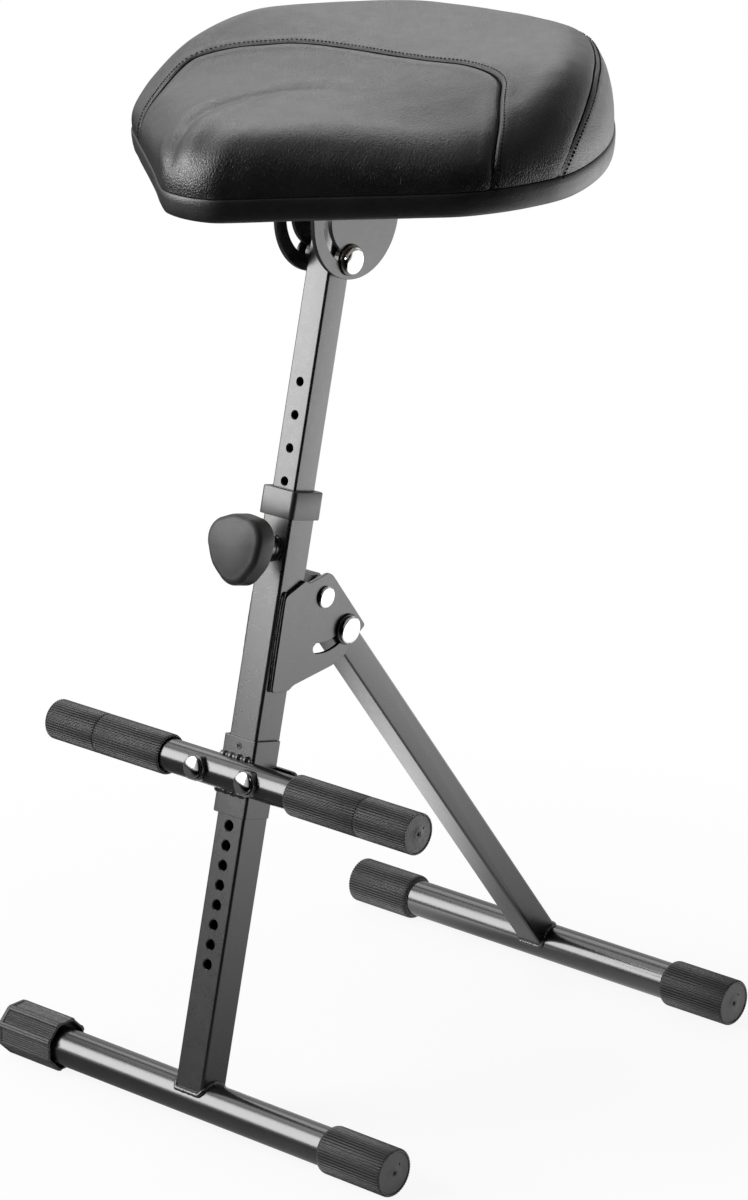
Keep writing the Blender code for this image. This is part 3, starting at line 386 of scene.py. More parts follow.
# Materials
class Finish:
    """A Principled material with a few helpers for its procedural detail."""

    def __init__(self, name, colour, roughness, metallic=0.0, **sockets):
        self.material = bpy.data.materials.new(name)
        self.material.use_nodes = True
        self.tree = self.material.node_tree
        self.shader = self.tree.nodes["Principled BSDF"]
        self.shader.inputs["Base Color"].default_value = (*colour, 1.0)
        self.shader.inputs["Roughness"].default_value = roughness
        self.shader.inputs["Metallic"].default_value = metallic
        for socket, value in sockets.items():
            self.shader.inputs[socket.replace("_", " ")].default_value = value
        self.coords = add(self.tree, "TexCoord").outputs["Object"]
        self.height = None

    def link(self, out, into):
        self.tree.links.new(out, into)

    def stretched(self, scale):
        if scale is None:
            return self.coords
        return add(self.tree, "Mapping", self.coords, None, None, scale).outputs["Vector"]

    def texture(self, kind, source, **values):
        made = add(self.tree, kind)
        for key, value in values.items():
            made.inputs[key].default_value = value
        self.link(source, made.inputs["Vector"])
        return made

    def noise(self, scale, detail=3.0, rough=0.5, stretch=None, distort=0.0):
        made = self.texture("TexNoise", self.stretched(stretch), Scale=scale, Detail=detail,
                            Roughness=rough, Distortion=distort)
        return made.outputs["Fac"]

    def cells(self, scale, wobble, edge, stretch=None):
        """Small cells with uneven outlines, level but for a groove of the given width round each."""
        source = self.stretched(stretch)
        shake = self.texture("TexNoise", source, Scale=scale * 0.7, Detail=2.0).outputs["Color"]
        moved = add(self.tree, "VectorMath", shake, (wobble / scale,) * 3, source,
                    operation="MULTIPLY_ADD").outputs["Vector"]
        made = self.texture("TexVoronoi", moved, Scale=scale)
        made.feature = "DISTANCE_TO_EDGE"
        return ramped(self.tree, made.outputs["Distance"], 0.0, edge, 0.0, 1.0, "LINEAR")

    def vary_roughness(self, source, low, high):
        self.link(ramped(self.tree, source, *MIDDLE, low, high, "LINEAR"), self.shader.inputs["Roughness"])

    def vary_colour(self, source, dark, light):
        ramp = add(self.tree, "ValToRGB", source)
        for element, position, colour in zip(ramp.color_ramp.elements, MIDDLE, (dark, light)):
            element.position = position
            element.color = (*colour, 1.0)
        self.link(ramp.outputs["Color"], self.shader.inputs["Base Color"])

    def paint_lit_ends(self, light):
        """Painted light: lightens the faces that look along X, such as the ends of the caps, as if they were
        lit from the side.
        """
        normal = add(self.tree, "NewGeometry").outputs["Normal"]
        facing = maths(self.tree, "ABSOLUTE", measured(self.tree, "DOT_PRODUCT", normal, (1.0, 0.0, 0.0)))
        mix = add(self.tree, "Mix", ramped(self.tree, facing, *LIT_END_FACING, 0.0, 1.0, "LINEAR"),
                  data_type="RGBA")
        plain, lit_face = [socket for socket in mix.inputs if socket.type == "RGBA"]
        lit_face.default_value = (*light, 1.0)
        colour = self.shader.inputs["Base Color"]
        self.link(colour.links[0].from_socket, plain)
        self.link([socket for socket in mix.outputs if socket.type == "RGBA"][0], colour)

    def bump(self, source, depth_mm):
        """Adds a layer of relief of the given depth."""
        made = add(self.tree, "Bump", 1.0, depth_mm * MM)
        self.link(source, made.inputs["Height"])
        if self.height:
            self.link(self.height, made.inputs["Normal"])
        self.height = made.outputs["Normal"]
        self.link(self.height, self.shader.inputs["Normal"])
        return self


# The span of a noise that a variation uses, how squarely an end face looks along X to take painted light, and
# the grey of that painted light
MIDDLE, LIT_END_FACING = (0.3, 0.7), (0.80, 0.97)
PAINTED_END_LIGHT = 0.16


def grey(value, warmth=0.0):
    return (value * (1 + warmth), value, value * (1 - warmth))


def powder_coat(name, roughness, peel):
    made = Finish(name, grey(0.013), roughness, Specular_IOR_Level=1.0)
    made.vary_colour(made.noise(38.0, 4.0), grey(0.011), grey(0.016))
    made.vary_roughness(made.noise(120.0, 5.0, 0.6), roughness - 0.015, roughness + 0.02)
    made.bump(made.noise(900.0, 2.0), peel)
    return made.bump(made.noise(3200.0, 2.0), peel * 0.35).material


def chrome_plate():
    made = Finish("chrome_plate", grey(0.82), 0.07, 1.0)
    made.vary_roughness(made.noise(260.0, 5.0, 0.65), 0.05, 0.13)
    made.vary_colour(made.noise(90.0, 3.0), grey(0.74, 0.004), grey(0.86, 0.004))
    return made.bump(made.noise(420.0, 2.0), 0.006).material


def zinc_plate():
    made = Finish("zinc_plate", grey(0.55), 0.32, 1.0)
    made.vary_roughness(made.noise(500.0, 6.0, 0.7, stretch=(1.0, 6.0, 6.0)), 0.22, 0.42)
    made.vary_colour(made.noise(140.0, 4.0), (0.47, 0.48, 0.50), (0.63, 0.63, 0.62))
    return made.bump(made.noise(1500.0, 3.0), 0.012).material


def grip_rubber(name, value):
    made = Finish(name, grey(value), 0.5, Specular_IOR_Level=0.6)
    made.vary_colour(made.noise(160.0, 5.0, 0.6), grey(value * 0.86), grey(value * 1.18))
    # Painted light: end faces that look along X get a lighter grey, as if lit from the side.
    made.paint_lit_ends(grey(PAINTED_END_LIGHT))
    made.vary_roughness(made.noise(420.0, 4.0), 0.44, 0.58)
    return made.bump(made.noise(2600.0, 3.0), 0.025).material


def moulded_plastic(name, low, high, specular):
    made = Finish(name, grey(0.021), (low + high) / 2, Specular_IOR_Level=specular)
    made.vary_colour(made.noise(70.0, 4.0), grey(0.018), grey(0.026))
    made.vary_roughness(made.noise(700.0, 4.0), low, high)
    return made.bump(made.noise(3600.0, 2.0), 0.03).material


def leatherette(name, low, high, grain):
    made = Finish(name, grey(0.008), (low + high) / 2, Specular_IOR_Level=0.9)
    made.vary_colour(made.noise(26.0, 5.0, 0.6), grey(0.006), grey(0.011))
    made.vary_roughness(made.noise(60.0, 5.0, 0.6), low, high)
    made.bump(made.noise(55.0, 3.0, 0.5, stretch=(1.0, 1.0, 0.7)), grain * 1.3)
    made.bump(made.cells(150.0, 1.3, 0.06, stretch=(1.0, 0.4, 0.6)), grain * 0.45)
    made.bump(made.cells(420.0, 0.9, 0.22), grain)
    return made.bump(made.cells(1150.0, 0.6, 0.3), grain * 0.35).material


def plywood():
    made = Finish("plywood", (0.36, 0.25, 0.14), 0.6)
    streaks = made.noise(60.0, 6.0, 0.65, stretch=(1.0, 14.0, 14.0), distort=0.6)
    made.vary_colour(streaks, (0.27, 0.17, 0.085), (0.46, 0.32, 0.18))
    made.vary_roughness(streaks, 0.52, 0.7)
    return made.bump(streaks, 0.15).material


def thread():
    made = Finish("thread", grey(0.006), 0.8, Specular_IOR_Level=0.1)
    made.vary_colour(made.noise(900.0, 3.0), grey(0.0042), grey(0.0078))
    return made.bump(made.noise(4000.0, 2.0, stretch=(1.0, 1.0, 3.0)), 0.08).material


FINISH = {
    "square": powder_coat("satin_coat", 0.28, 0.030),
    "round": powder_coat("gloss_coat", 0.21, 0.014),
    "chrome": chrome_plate(),
    "zinc": zinc_plate(),
    "rubber": grip_rubber("grip_rubber", 0.022),
    "cap": grip_rubber("cap_rubber", 0.042),
    "plastic": moulded_plastic("moulded_plastic", 0.33, 0.43, 1.0),
    "knob": moulded_plastic("knob_plastic", 0.44, 0.54, 0.55),
    "hide": leatherette("leatherette", 0.30, 0.37, 0.115),
    "band": leatherette("band_cover", 0.40, 0.48, 0.05),
    "wood": plywood(),
    "thread": thread(),
    "weld": powder_coat("weld_coat", 0.27, 0.06),
}


def dress(obj, kind, body, *nodes):
    """Gives a piece its finish and its body, and hides the imported nodes that it stands for."""
    obj.data.materials.clear()
    obj.data.materials.append(FINISH[kind])
    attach(obj, body)
    if nodes:
        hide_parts(*nodes)
    return obj


# Tubes
def holes(frames, dia, face):
    """Cutters for round holes with a chamfered mouth, along each frame's Z, through one wall."""
    r = dia / 2
    ease = HOLE_CHAMFER
    profile = [(r, face - 3 * LEG_WALL), (r, face - ease), (r + 2 * ease, face + ease)]
    return [lathe("hole", profile, at, segments=36) for at in frames]


def square_tube(name, side, wall, corner, low, high, at):
    outer = rounded_square(side / 2, corner)
    inner = rounded_square(side / 2 - wall, max(corner - wall, 0.5))
    loops = [lift(outer, low), lift(outer, high), lift(inner, high), lift(inner, low)]
    return loft(name, loops, at, ring=True)


def make_tubes():
    r = TUBE_DIA / 2
    saddle_profile = [(r + GAP, -LEG_SIDE), (r + GAP, LEG_SIDE)]
    leg = square_tube("leg", LEG_SIDE, LEG_WALL, LEG_CORNER, TUBE_WALL, LEG_TOP, LEG)
    row = [to_front(LEG, 0, ROW_TOP - ROW_PITCH * i) for i in range(ROW_HOLES)]
    saddle = lathe("saddle", saddle_profile, along_x(LEG, 0, 0))
    carve(leg, saddle, *holes(row, ROW_HOLE_DIA, LEG_SIDE / 2))
    dress(shade(leg), "square", "frame", "main_leg")

    post = square_tube("post", POST_SIDE, LEG_WALL, POST_CORNER, POST_FOOT, POST_TOP, LEG)
    row = [to_front(LEG, 0, POST_TOP_HOLE - POST_HOLE_PITCH * i) for i in range(POST_HOLES)]
    carve(post, *holes(row, POST_HOLE_DIA, POST_SIDE / 2))
    dress(shade(post), "square", "post", "seat_post")

    foot = STRUT_LENGTH - TUBE_WALL
    strut = square_tube("strut", STRUT_SIDE, LEG_WALL, POST_CORNER, -STRUT_ABOVE, foot, STRUT)
    carve(strut, lathe("saddle", saddle_profile, along_x(STRUT, 0, STRUT_LENGTH)))
    dress(shade(strut), "square", "strut", "strut_tube")
    plug_half = STRUT_SIDE / 2 - LEG_WALL - GAP
    steps = ((plug_half - 2.0, -1.6), (plug_half, 0.0), (plug_half, 8.0))
    loops = [lift(rounded_square(half, POST_CORNER), level - STRUT_ABOVE) for half, level in steps]
    plug = loft("strut_top_plug", loops, STRUT)
    dress(shade(plug), "plastic", "strut")

    half, edge = BASE_HALF - CAP_END - GAP, 0.5
    profile = [(r - edge, -half), (r, edge - half), (r, half - edge), (r - edge, half)]
    profile += [(r - TUBE_WALL, half), (r - TUBE_WALL, -half)]
    for name, y, body in (("front", FRONT_AXIS.y, "frame"), ("rear", REAR_AXIS.y, "strut")):
        tube = lathe(name + "_tube", profile, along_x(WORLD, y, FRONT_AXIS.z), ring=True)
        dress(shade(tube), "round", body, name + "_base_tube")


# Foot caps and grips
def ribbed(name, at, stations, ribs, depth, ring):
    """A turned piece with ribs along it: a station is its radius, its place and its share of rib depth."""
    turns = [2 * pi * i / (ribs * 8) for i in range(ribs * 8)]
    grooves = [(turn, depth * smooth(0.35 + 0.9 * cos(ribs * turn))) for turn in turns]
    loops = [[polar(radius - share * deep, turn) + (level,) for turn, deep in grooves]
             for radius, level, share in stations]
    return loft(name, loops, at, ring)


def end_stations(r, length, edge):
    """The rounded edge and the slightly dished face of a cap's end, from its rim inward."""
    rim = r - edge
    return [
        (r, length - edge, 1.0), (r - edge * 0.35, length - edge * 0.3, 0.4), (rim, length, 0.0),
        (rim - 0.7, length, 0.0), (rim - 1.2, length - 0.7, 0.0), (r * 0.60, length - 0.35, 0.0),
        (r * 0.24, length - 0.2, 0.0), (r * 0.22, length, 0.0), (r * 0.15, length, 0.0),
        (r * 0.12, length - 0.5, 0.0), (r * 0.09, length - 0.5, 0.0), (r * 0.08, length - 1.6, 0.0),
        (r * 0.02, length - 1.6, 0.0),
    ]


def cap(name, at, dia, length, end, bore, ribs, depth, edge):
    """A blind cap from its rounded inner mouth at zero to its end face."""
    r = dia / 2
    stations = [(bore, length - end, 0.0), (bore, 1.5, 0.0), (bore + 0.9, 0.0, 0.0), (r - edge, 0.0, 0.0)]
    stations += [(r - edge * 0.45, edge * 0.2, 0.3), (r - edge * 0.12, edge * 0.55, 0.8), (r, edge, 1.0)]
    made = ribbed(name, at, stations + end_stations(r, length, edge * 0.45), ribs, depth, False)
    pin_at = at @ Matrix.Translation((-r * 0.3, r * 0.3, 0))
    pin = lathe("pin", [(0.8, length - 1.8), (0.8, length + 1.0)], pin_at, segments=24)
    return shade(carve(made, pin), 50)


def make_caps():
    bore = TUBE_DIA / 2 + GAP
    for node, y, side, body in (("front_cap_right", FRONT_AXIS.y, 1, "frame"),
                                ("rear_cap_right", REAR_AXIS.y, 1, "strut"),
                                ("rear_cap_left", REAR_AXIS.y, -1, "strut")):
        at = along_x(WORLD, y, FRONT_AXIS.z)
        at = (at if side > 0 else mirrored(at)) @ Matrix.Translation((0, 0, BASE_HALF - CAP_LENGTH))
        made = cap("ribbed_" + node, at, CAP_DIA, CAP_LENGTH, CAP_END, bore, CAP_RIBS, CAP_RIB, CAP_EDGE)
        dress(made, "rubber", body, node)


def make_level_cap():
    """Eight sides, each a finely ribbed panel between smooth corners, round a bore out of centre."""
    sides, length, eccentric, chamfer = 8, 61.0, 1.75, 2.0
    apothem = FRONT_AXIS.z + eccentric
    per_side, ribs, panel, recess, depth = 90, 7, 0.72, 0.5, 0.9
    half_side = apothem * tan(pi / sides)

    def section(drawn, cut):
        loop = []
        for side in range(sides):
            turn = 2 * pi * side / sides
            for k in range(per_side):
                t = 2 * k / per_side - 1
                sunk = smooth((panel - abs(t)) / 0.06)
                rib = 0.5 + 0.5 * cos(pi * ribs * t / panel)
                out = apothem - drawn - cut * sunk * (recess + depth * rib ** 2)
                out -= 0.9 * smooth((abs(t) - 0.86) / 0.14)
                across = t * (half_side - drawn * tan(pi / sides))
                x, y = polar(out, turn)
                loop.append((x - across * sin(turn), y + across * cos(turn)))
        return loop

    at = mirrored(along_x(WORLD, FRONT_AXIS.y, FRONT_AXIS.z + eccentric))
    at = at @ Matrix.Translation((0, 0, BASE_HALF - length))
    steps = ((0.7, 0.0, 1), (0.2, 0.3, 1), (0, 1.0, 1),
             (0, length - 5.0, 1), (0, length - 4.0, 0), (0, length - chamfer, 0), (0.6, length - 0.5, 0),
             (chamfer, length, 0), (5.0, length - 0.6, 0), (12.0, length - 0.3, 0))
    made = loft("level_foot_cap", [lift(section(drawn, cut), level) for drawn, level, cut in steps], at)
    bore_at = mirrored(along_x(WORLD, FRONT_AXIS.y, FRONT_AXIS.z))
    r = TUBE_DIA / 2 + GAP
    mouth = BASE_HALF - length
    corner = (apothem - 2.6) / cos(pi / sides)
    hollow = fillet([polar(corner, pi / sides * (2 * i + 1)) for i in range(sides)], 3.0)
    carve(made, lathe("bore", [(r, mouth - 5.0), (r, BASE_HALF - CAP_END)], bore_at),
          prism("hollow", hollow, -5.0, 9.0, at))
    dress(shade(made, 28), "cap", "level_foot", "level_cap")


def make_grips():
    axis = along_x(LEG, REST_N, REST_S)
    r, bore = GRIP_DIA / 2, REST_DIA / 2 + GAP
    start = REST_HALF - GRIP_CAP
    for side, at in (("right", axis), ("left", mirrored(axis))):
        cap_at = at @ Matrix.Translation((0, 0, start))
        made = cap("ribbed_grip_cap_" + side, cap_at, GRIP_DIA, GRIP_CAP, GRIP_END, bore, GRIP_RIBS, GRIP_RIB,
                   GRIP_EDGE)
        dress(made, "rubber", "footrest", "grip_cap_" + side)
        low, high = start - GAP - GRIP_SLEEVE, start - GAP
        stations = [
            (bore, low + 4.0, 0.0), (r - 2.0, low + 3.6, 0.0), (r - 1.8, low, 0.0), (r - 1.0, low, 0.3),
            (r - 0.4, low + 0.7, 0.8), (r, low + 1.8, 1.0), (r, high - 0.9, 1.0), (r - 0.6, high, 0.6),
            (bore, high, 0.0),
        ]
        sleeve = ribbed("ribbed_grip_sleeve_" + side, at, stations, GRIP_RIBS, GRIP_RIB, True)
        dress(shade(sleeve, 50), "rubber", "footrest", "grip_sleeve_" + side)


# Fasteners
def bolt(name, at, body, shaft, tail, head, under, height, dome):
    """A bolt from its tail up its shaft to a domed head with a rounded rim."""
    r = head / 2
    profile = [(shaft / 2 - 0.6, tail), (shaft / 2, tail + 0.6), (shaft / 2, under), (r - 0.4, under)]
    profile += [(r, under + 0.4), (r, under + height * (0.88 - dome))]
    profile.append((r - 0.3, under + height * (0.96 - dome)))
    for step in range(1, 11):
        share = 1 - step / 10
        profile.append(((r - 0.6) * share + 0.02, under + height * (1.0 - dome * share ** 2.0)))
    dress(shade(lathe(name + "_fine", profile, at), 40), "chrome", body, name)


def washer(name, at, body, low):
    r, bore, edge, high = WASHER_DIA / 2, WASHER_BORE, WASHER_EDGE, low + WASHER_THICK
    profile = [(r - edge, low), (r - edge * 0.3, low + edge * 0.3), (r, low + edge), (r, high - edge)]
    profile += [(r - edge * 0.3, high - edge * 0.3), (r - edge, high), (bore, high), (bore, low)]
    dress(shade(lathe(name + "_fine", profile, at, ring=True)), "plastic", body, name)


def round_nut(name, at, body, low, height):
    r = NUT_DIA / 2
    profile = [(r * 0.3, low), (r - 0.4, low), (r, low + 0.4), (r, low + height * 0.55)]
    profile += [(r * c + 0.02, low + height * (0.55 + 0.65 * s)) for c, s in quarter(8, 1)]
    dress(shade(lathe(name + "_fine", profile, at), 40), "plastic", body, name)


def bolted(name, axis, body, face, tail, head, height, nut_height):
    """A bolt through two washers into a round nut, with both faces that far from the middle."""
    washer_in = face + GAP
    for side, at in (("right", axis), ("left", mirrored(axis))):
        washer(name + "_washer_" + side, at, body, washer_in)
    seat = washer_in + WASHER_THICK + GAP
    bolt(name + "_bolt", axis, body, BOLT_SHAFT, -(seat + tail), head, seat, height, BOLT_DOME)
    round_nut(name + "_nut", mirrored(axis), body, seat, nut_height)


def make_fold():
    """Plates, rivet, slot bolt and washers of the folding strut."""
    inner = LEG_SIDE / 2 + GAP
    outer = inner + PLATE_THICK
    spare = radians(1)
    slot_end = STRUT_LEAN + LEAN - pi / 2 + spare
    slot = arc_slot(SLOT_RADIUS, SLOT_WIDTH, -pi / 2 - spare, slot_end)
    outline = fillet(PLATE_OUTLINE, 4.0)
    for side, low, high in (("right", inner, outer), ("left", -outer, -inner)):
        plate = prism("plate_" + side, outline, low, high, FOLD @ YZ_TO_XY)
        cutter = prism("slot", slot, low - 1, high + 1, FOLD @ YZ_TO_XY)
        carve(plate, cutter)
        dress(soften(plate, 0.5), "square", "frame", "fold_plate_" + side)
    head_in, head, head_r, shank_r = outer + GAP, 2.6, 9.25, 5.0
    half = [(shank_r, head_in), (head_r - 0.3, head_in), (head_r, head_in + 0.3)]
    half += [(head_r * c ** 0.3 + 0.02, head_in + head * (0.45 + 0.55 * s)) for c, s in quarter(8)]
    profile = [(r, -a) for r, a in reversed(half)] + half
    dress(shade(lathe("rivet", profile, along_x(FOLD, 0, 0)), 40), "chrome", "frame", "fold_rivet")
    bolted("fold", along_x(STRUT, 0, SLOT_RADIUS), "strut", outer, 4.2, 23.0, 3.6, 6.0)


def make_hinge():
    """Cheeks, slots, clamp bolt and washers under the seat."""
    web_top = RIM + BOARD_FLOOR - GAP
    web_low = web_top - CHEEK_THICK
    outer = CHEEK_INNER + CHEEK_THICK
    outline = [polar(HINGE_RADIUS, pi + pi * i / 64) for i in range(65)]
    outline += [(HINGE_RADIUS, web_top), (-HINGE_RADIUS, web_top)]
    bracket = prism("cheeks", outline, -outer, outer, SEAT @ YZ_TO_XY)
    reach = 2 * HINGE_RADIUS
    room = [(-reach, -reach), (reach, -reach), (reach, web_low), (-reach, web_low)]
    clamp_angle = -pi / 2 - LEAN - TILT
    slot = arc_slot(HINGE_ARM, SLOT_WIDTH, clamp_angle - SLOT_FRONT, clamp_angle + SLOT_BACK)
    carve(bracket, prism("room", room, -CHEEK_INNER, CHEEK_INNER, SEAT @ YZ_TO_XY),
          prism("slot", slot, -2 * outer, 2 * outer, SEAT @ YZ_TO_XY))
    dress(soften(bracket, 0.6), "square", "seat", "seat_bracket")
    bolted("clamp", along_x(LEG, 0, HINGE_S - HINGE_ARM), "post", outer, 3.8, 22.0, 3.4, 5.4)


def make_lock():
    """Collar and boss of the height lock."""
    side, depth, lip = span("leg_collar", 0), 20.5, 2.2
    foot, seat = LEG_TOP - depth, LEG_TOP + GAP
    top = seat + lip
    inner = rounded_square(LEG_SIDE / 2 + GAP, LEG_CORNER)
    mouth = rounded_square(POST_SIDE / 2 + GAP, POST_CORNER)
    steps = ((0.6, foot), (0.15, foot + 0.25), (0.0, foot + 0.8), (0.0, top - 1.2), (0.35, top - 0.35),
             (1.2, top))
    loops = [lift(rounded_square(side / 2 - drawn, 4.0 - drawn), level) for drawn, level in steps]
    loops += [lift(mouth, top), lift(mouth, seat), lift(inner, seat), lift(inner, foot)]
    dress(shade(loft("collar", loops, LEG, ring=True), 40), "plastic", "frame", "leg_collar")

    back = LEG_SIDE / 2 + GAP
    r, bore, end, deep = BOSS_RADIUS, 5.0, back + 18.0, 0.8
    profile = [(r, back)]
    for ring_at in (back + 6.0, back + 11.5):
        profile += [(r, ring_at - deep), (r - deep, ring_at - deep / 2), (r - deep, ring_at + deep / 2),
                    (r, ring_at + deep)]
    profile += [(r, end - 1.0), (r - 1.0, end), (bore, end), (bore, back)]
    boss = lathe("boss", profile, to_front(LEG, 0, LOCK_S), ring=True)
    dress(shade(boss), "square", "frame", "lock_boss")


def make_knob():
    """Three round lobes with a hollow side between them, an eased edge and a slightly domed face."""
    lobes = []
    for lobe in range(3):
        turn = -pi / 2 + KNOB_TURN + lobe * 2 * pi / 3
        turns = [turn + LOBE_SPREAD * step / 4 for step in range(-4, 5)]
        lobes += arc(polar(LOBE_OUT, turn), LOBE_RADIUS, turns)
        lobes.append(polar(KNOB_SIDE, turn + pi / 3))
    outline = curve_through(lift(lobes, 0.0), 144, closed=True)
    neck, ease = 3.0, 2.5
    steps = [(0.55, 0.0), (0.75, 0.0), (0.78, neck)]
    steps += [(1 - ease * (1 - s) / 26.0, neck + ease * (1 - c)) for c, s in quarter(6)]
    low = KNOB_THICK - KNOB_DOME - KNOB_EDGE
    steps += [(1 - KNOB_EDGE * (1 - c) / 27.0, low + KNOB_EDGE * s) for c, s in quarter(8, 1)]
    for share in (0.68, 0.52, 0.34, 0.17, 0.04):
        steps.append((share, KNOB_THICK - KNOB_DOME * (share / 0.80) ** 2))
    loops = [[(p.x * share, p.y * share, KNOB_STANDOFF + level) for p in outline] for share, level in steps]
    knob = loft("knob", loops, to_front(LEG, 0, LOCK_S))
    dress(shade(knob, 50), "knob", "lock_turn", "lock_knob")


def make_footrest():
    """Sleeve with its stud, and the cross tube."""
    inner = LEG_SIDE / 2 + GAP
    outer = inner + SLEEVE_WALL
    outline = [(-outer, SLEEVE_FLANGE)]
    for cx, first in ((-outer + SLEEVE_BEND, pi), (outer - SLEEVE_BEND, 1.5 * pi)):
        turns = [first + step / 6 * pi / 2 for step in range(7)]
        outline += arc((cx, -outer + SLEEVE_BEND), SLEEVE_BEND, turns)
    outline += [(outer, SLEEVE_FLANGE), (inner, SLEEVE_FLANGE), (inner, -inner), (-inner, -inner),
                (-inner, SLEEVE_FLANGE)]
    sleeve = prism("sleeve", outline, SLEEVE_FOOT, SLEEVE_TOP, LEG)
    dress(soften(sleeve, 0.45), "square", "footrest", "footrest_sleeve")
    stud_at = to_front(LEG, 0, ROW_TOP)
    profile = [(4.0, inner), (4.0, outer - 0.4), (2.9, outer), (2.5, outer + 0.5), (1.8, outer + 0.5)]
    profile += [(1.3, outer), (0.1, outer)]
    dress(shade(lathe("stud", profile, stud_at, segments=36), 40), "square", "footrest", "locating_stud")

    axis = along_x(LEG, REST_N, REST_S)
    r, half = REST_DIA / 2, REST_HALF - GRIP_END - GAP
    profile = [(r, -half), (r, half), (r - TUBE_WALL, half), (r - TUBE_WALL, -half)]
    tube = lathe("cross_tube", profile, axis, ring=True)
    notch = outer + GAP
    corners = [(-notch, -notch), (notch, -notch), (notch, REST_DIA), (-notch, REST_DIA)]
    carve(tube, prism("notch", corners, SLEEVE_FOOT, SLEEVE_TOP, LEG))
    dress(shade(tube), "round", "footrest", "footrest_tube")


def make_clamp():
    """Bolts on hexagonal collars, and the bar with its nuts behind the leg."""
    r = REST_DIA / 2
    front = r - REST_N
    collar_front, collar_back = front + 3.5, front - 4.5
    bar_in = LEG_SIDE / 2 + 2 * GAP
    tail = bar_in + CLAMP_THICK + GAP + CLAMP_THICK
    saddle_profile = [(r + GAP, -REST_HALF), (r + GAP, REST_HALF)]
    hexagon = fillet([polar(12.0, pi * i / 3) for i in range(6)], 2.0)
    for side, x in (("right", REST_BOLT_X), ("left", -REST_BOLT_X)):
        at = to_front(LEG, x, REST_S)
        collar = prism("hex_collar_" + side, hexagon, collar_back, collar_front, at)
        carve(collar, lathe("saddle", saddle_profile, along_x(LEG, REST_N, REST_S)))
        dress(soften(collar, 0.6), "plastic", "footrest", "bolt_collar_" + side)
        bolt("footrest_bolt_" + side, at, "footrest", REST_BOLT_SHAFT, -tail, REST_BOLT_HEAD,
             collar_front + GAP, 3.6, REST_BOLT_DOME)
        corners = [polar(5.75, pi * i / 3) for i in range(6)]
        nut = prism("clamp_nut_" + side, corners, -tail, CLAMP_THICK - tail, at)
        carve(nut, lathe("bore", [(REST_BORE, -tail - 1), (REST_BORE, CLAMP_THICK + 1 - tail)], at))
        dress(soften(nut, 0.5), "zinc", "footrest", "footrest_nut_" + side)
    half, high = REST_BOLT_X + 9.0, 8.5
    outline = fillet([(-half, -high), (half, -high), (half, high), (-half, high)], 8.0)
    bar_at = mirrored(to_front(LEG, 0, REST_S))
    bar = prism("rear_bar", outline, bar_in, bar_in + CLAMP_THICK, bar_at)
    for x in (REST_BOLT_X, -REST_BOLT_X):
        bore_at = bar_at @ Matrix.Translation((x, 0, 0))
        carve(bar, lathe("bore", [(REST_BORE, bar_in - 1), (REST_BORE, bar_in + 6)], bore_at))
    dress(soften(bar, 1.0), "square", "footrest", "clamp_bar")


def make_welds():
    """Weld beads where the tubes, plates and sleeve meet."""
    def around(at, half, r):
        """Where a square tube of that half side meets the round tube across its foot."""
        path = []
        for i in range(120):
            turn = 2 * pi * i / 120
            reach = half / max(abs(cos(turn)), abs(sin(turn)))
            x, n = polar(min(reach, half * 1.3), turn)
            path.append(at @ Vector((x, n, sqrt(max(r * r - n * n, 1.0)))))
        return path

    proud = 0.3
    r = TUBE_DIA / 2 + 0.4
    path = around(LEG, LEG_SIDE / 2 + proud, r)
    dress(bead("weld_leg_foot", path, 2.2, ripple=0.06, pitch=7.0, closed=True), "weld", "frame")
    turned = STRUT @ Matrix.Translation((0, 0, STRUT_LENGTH)) @ Matrix.Rotation(pi, 4, "X")
    path = around(turned, STRUT_SIDE / 2 + proud, r)
    dress(bead("weld_strut_foot", path, 2.0, ripple=0.09, pitch=5.5, closed=True), "weld", "strut")
    x = LEG_SIDE / 2 + GAP + 0.6
    corners = ((-48.4, -79.0), (-49.6, -38.0), (-49.2, -1.0), (-46.5, 1.8))
    line = curve_through(lift(corners, 0.0), 60)
    for side, sign in (("right", 1), ("left", -1)):
        path = [FOLD @ Vector((sign * x, p.x, p.y)) for p in line]
        dress(bead("weld_plate_" + side, path, 1.5, ripple=0.05, pitch=9.0), "weld", "frame")
    outer = LEG_SIDE / 2 + GAP + SLEEVE_WALL
    for name, sign in (("top", 1), ("under", -1)):
        s = REST_S + sign * sqrt((REST_DIA / 2) ** 2 - (outer + REST_N) ** 2)
        path = [LEG @ Vector((i * outer / 30, -outer - 0.9, s + sign * 0.6)) for i in range(-28, 29)]
        dress(bead("weld_sleeve_" + name, path, 2.8, ripple=0.2, pitch=8.5), "weld", "footrest")
    path = [to_front(LEG, 0, LOCK_S) @ Vector(p) for p in circle(BOSS_RADIUS + 0.2, LEG_SIDE / 2 + 0.5, 60)]
    dress(bead("weld_boss", path, 1.2, ripple=0.15, closed=True), "weld", "frame")


# Seat
def seat_plan(count):
    other_half = tuple((-u, v) for u, v in reversed(SEAT_HALF_PLAN[1:-1]))
    return curve_through(lift(SEAT_HALF_PLAN + other_half, 0.0), count, closed=True)


def inset(plan, amount):
    moved = []
    for i, p in enumerate(plan):
        along = plan[(i + 1) % len(plan)] - plan[i - 1]
        moved.append(p + Vector((-along.y, along.x, 0.0)).normalized() * amount)
    return moved


def cover_level(u, v):
    """Height of the cover above the rim, well inside its rounded edge."""
    back = smooth((v - BACK_FROM) / BACK_RUN)
    sides = smooth((abs(u) - SIDE_FROM) / SIDE_RUN)
    return CUSHION_LEVEL + back * (BACK_RISE + SIDE_RISE * sides) - (1 - back) * SIDE_DROP * sides


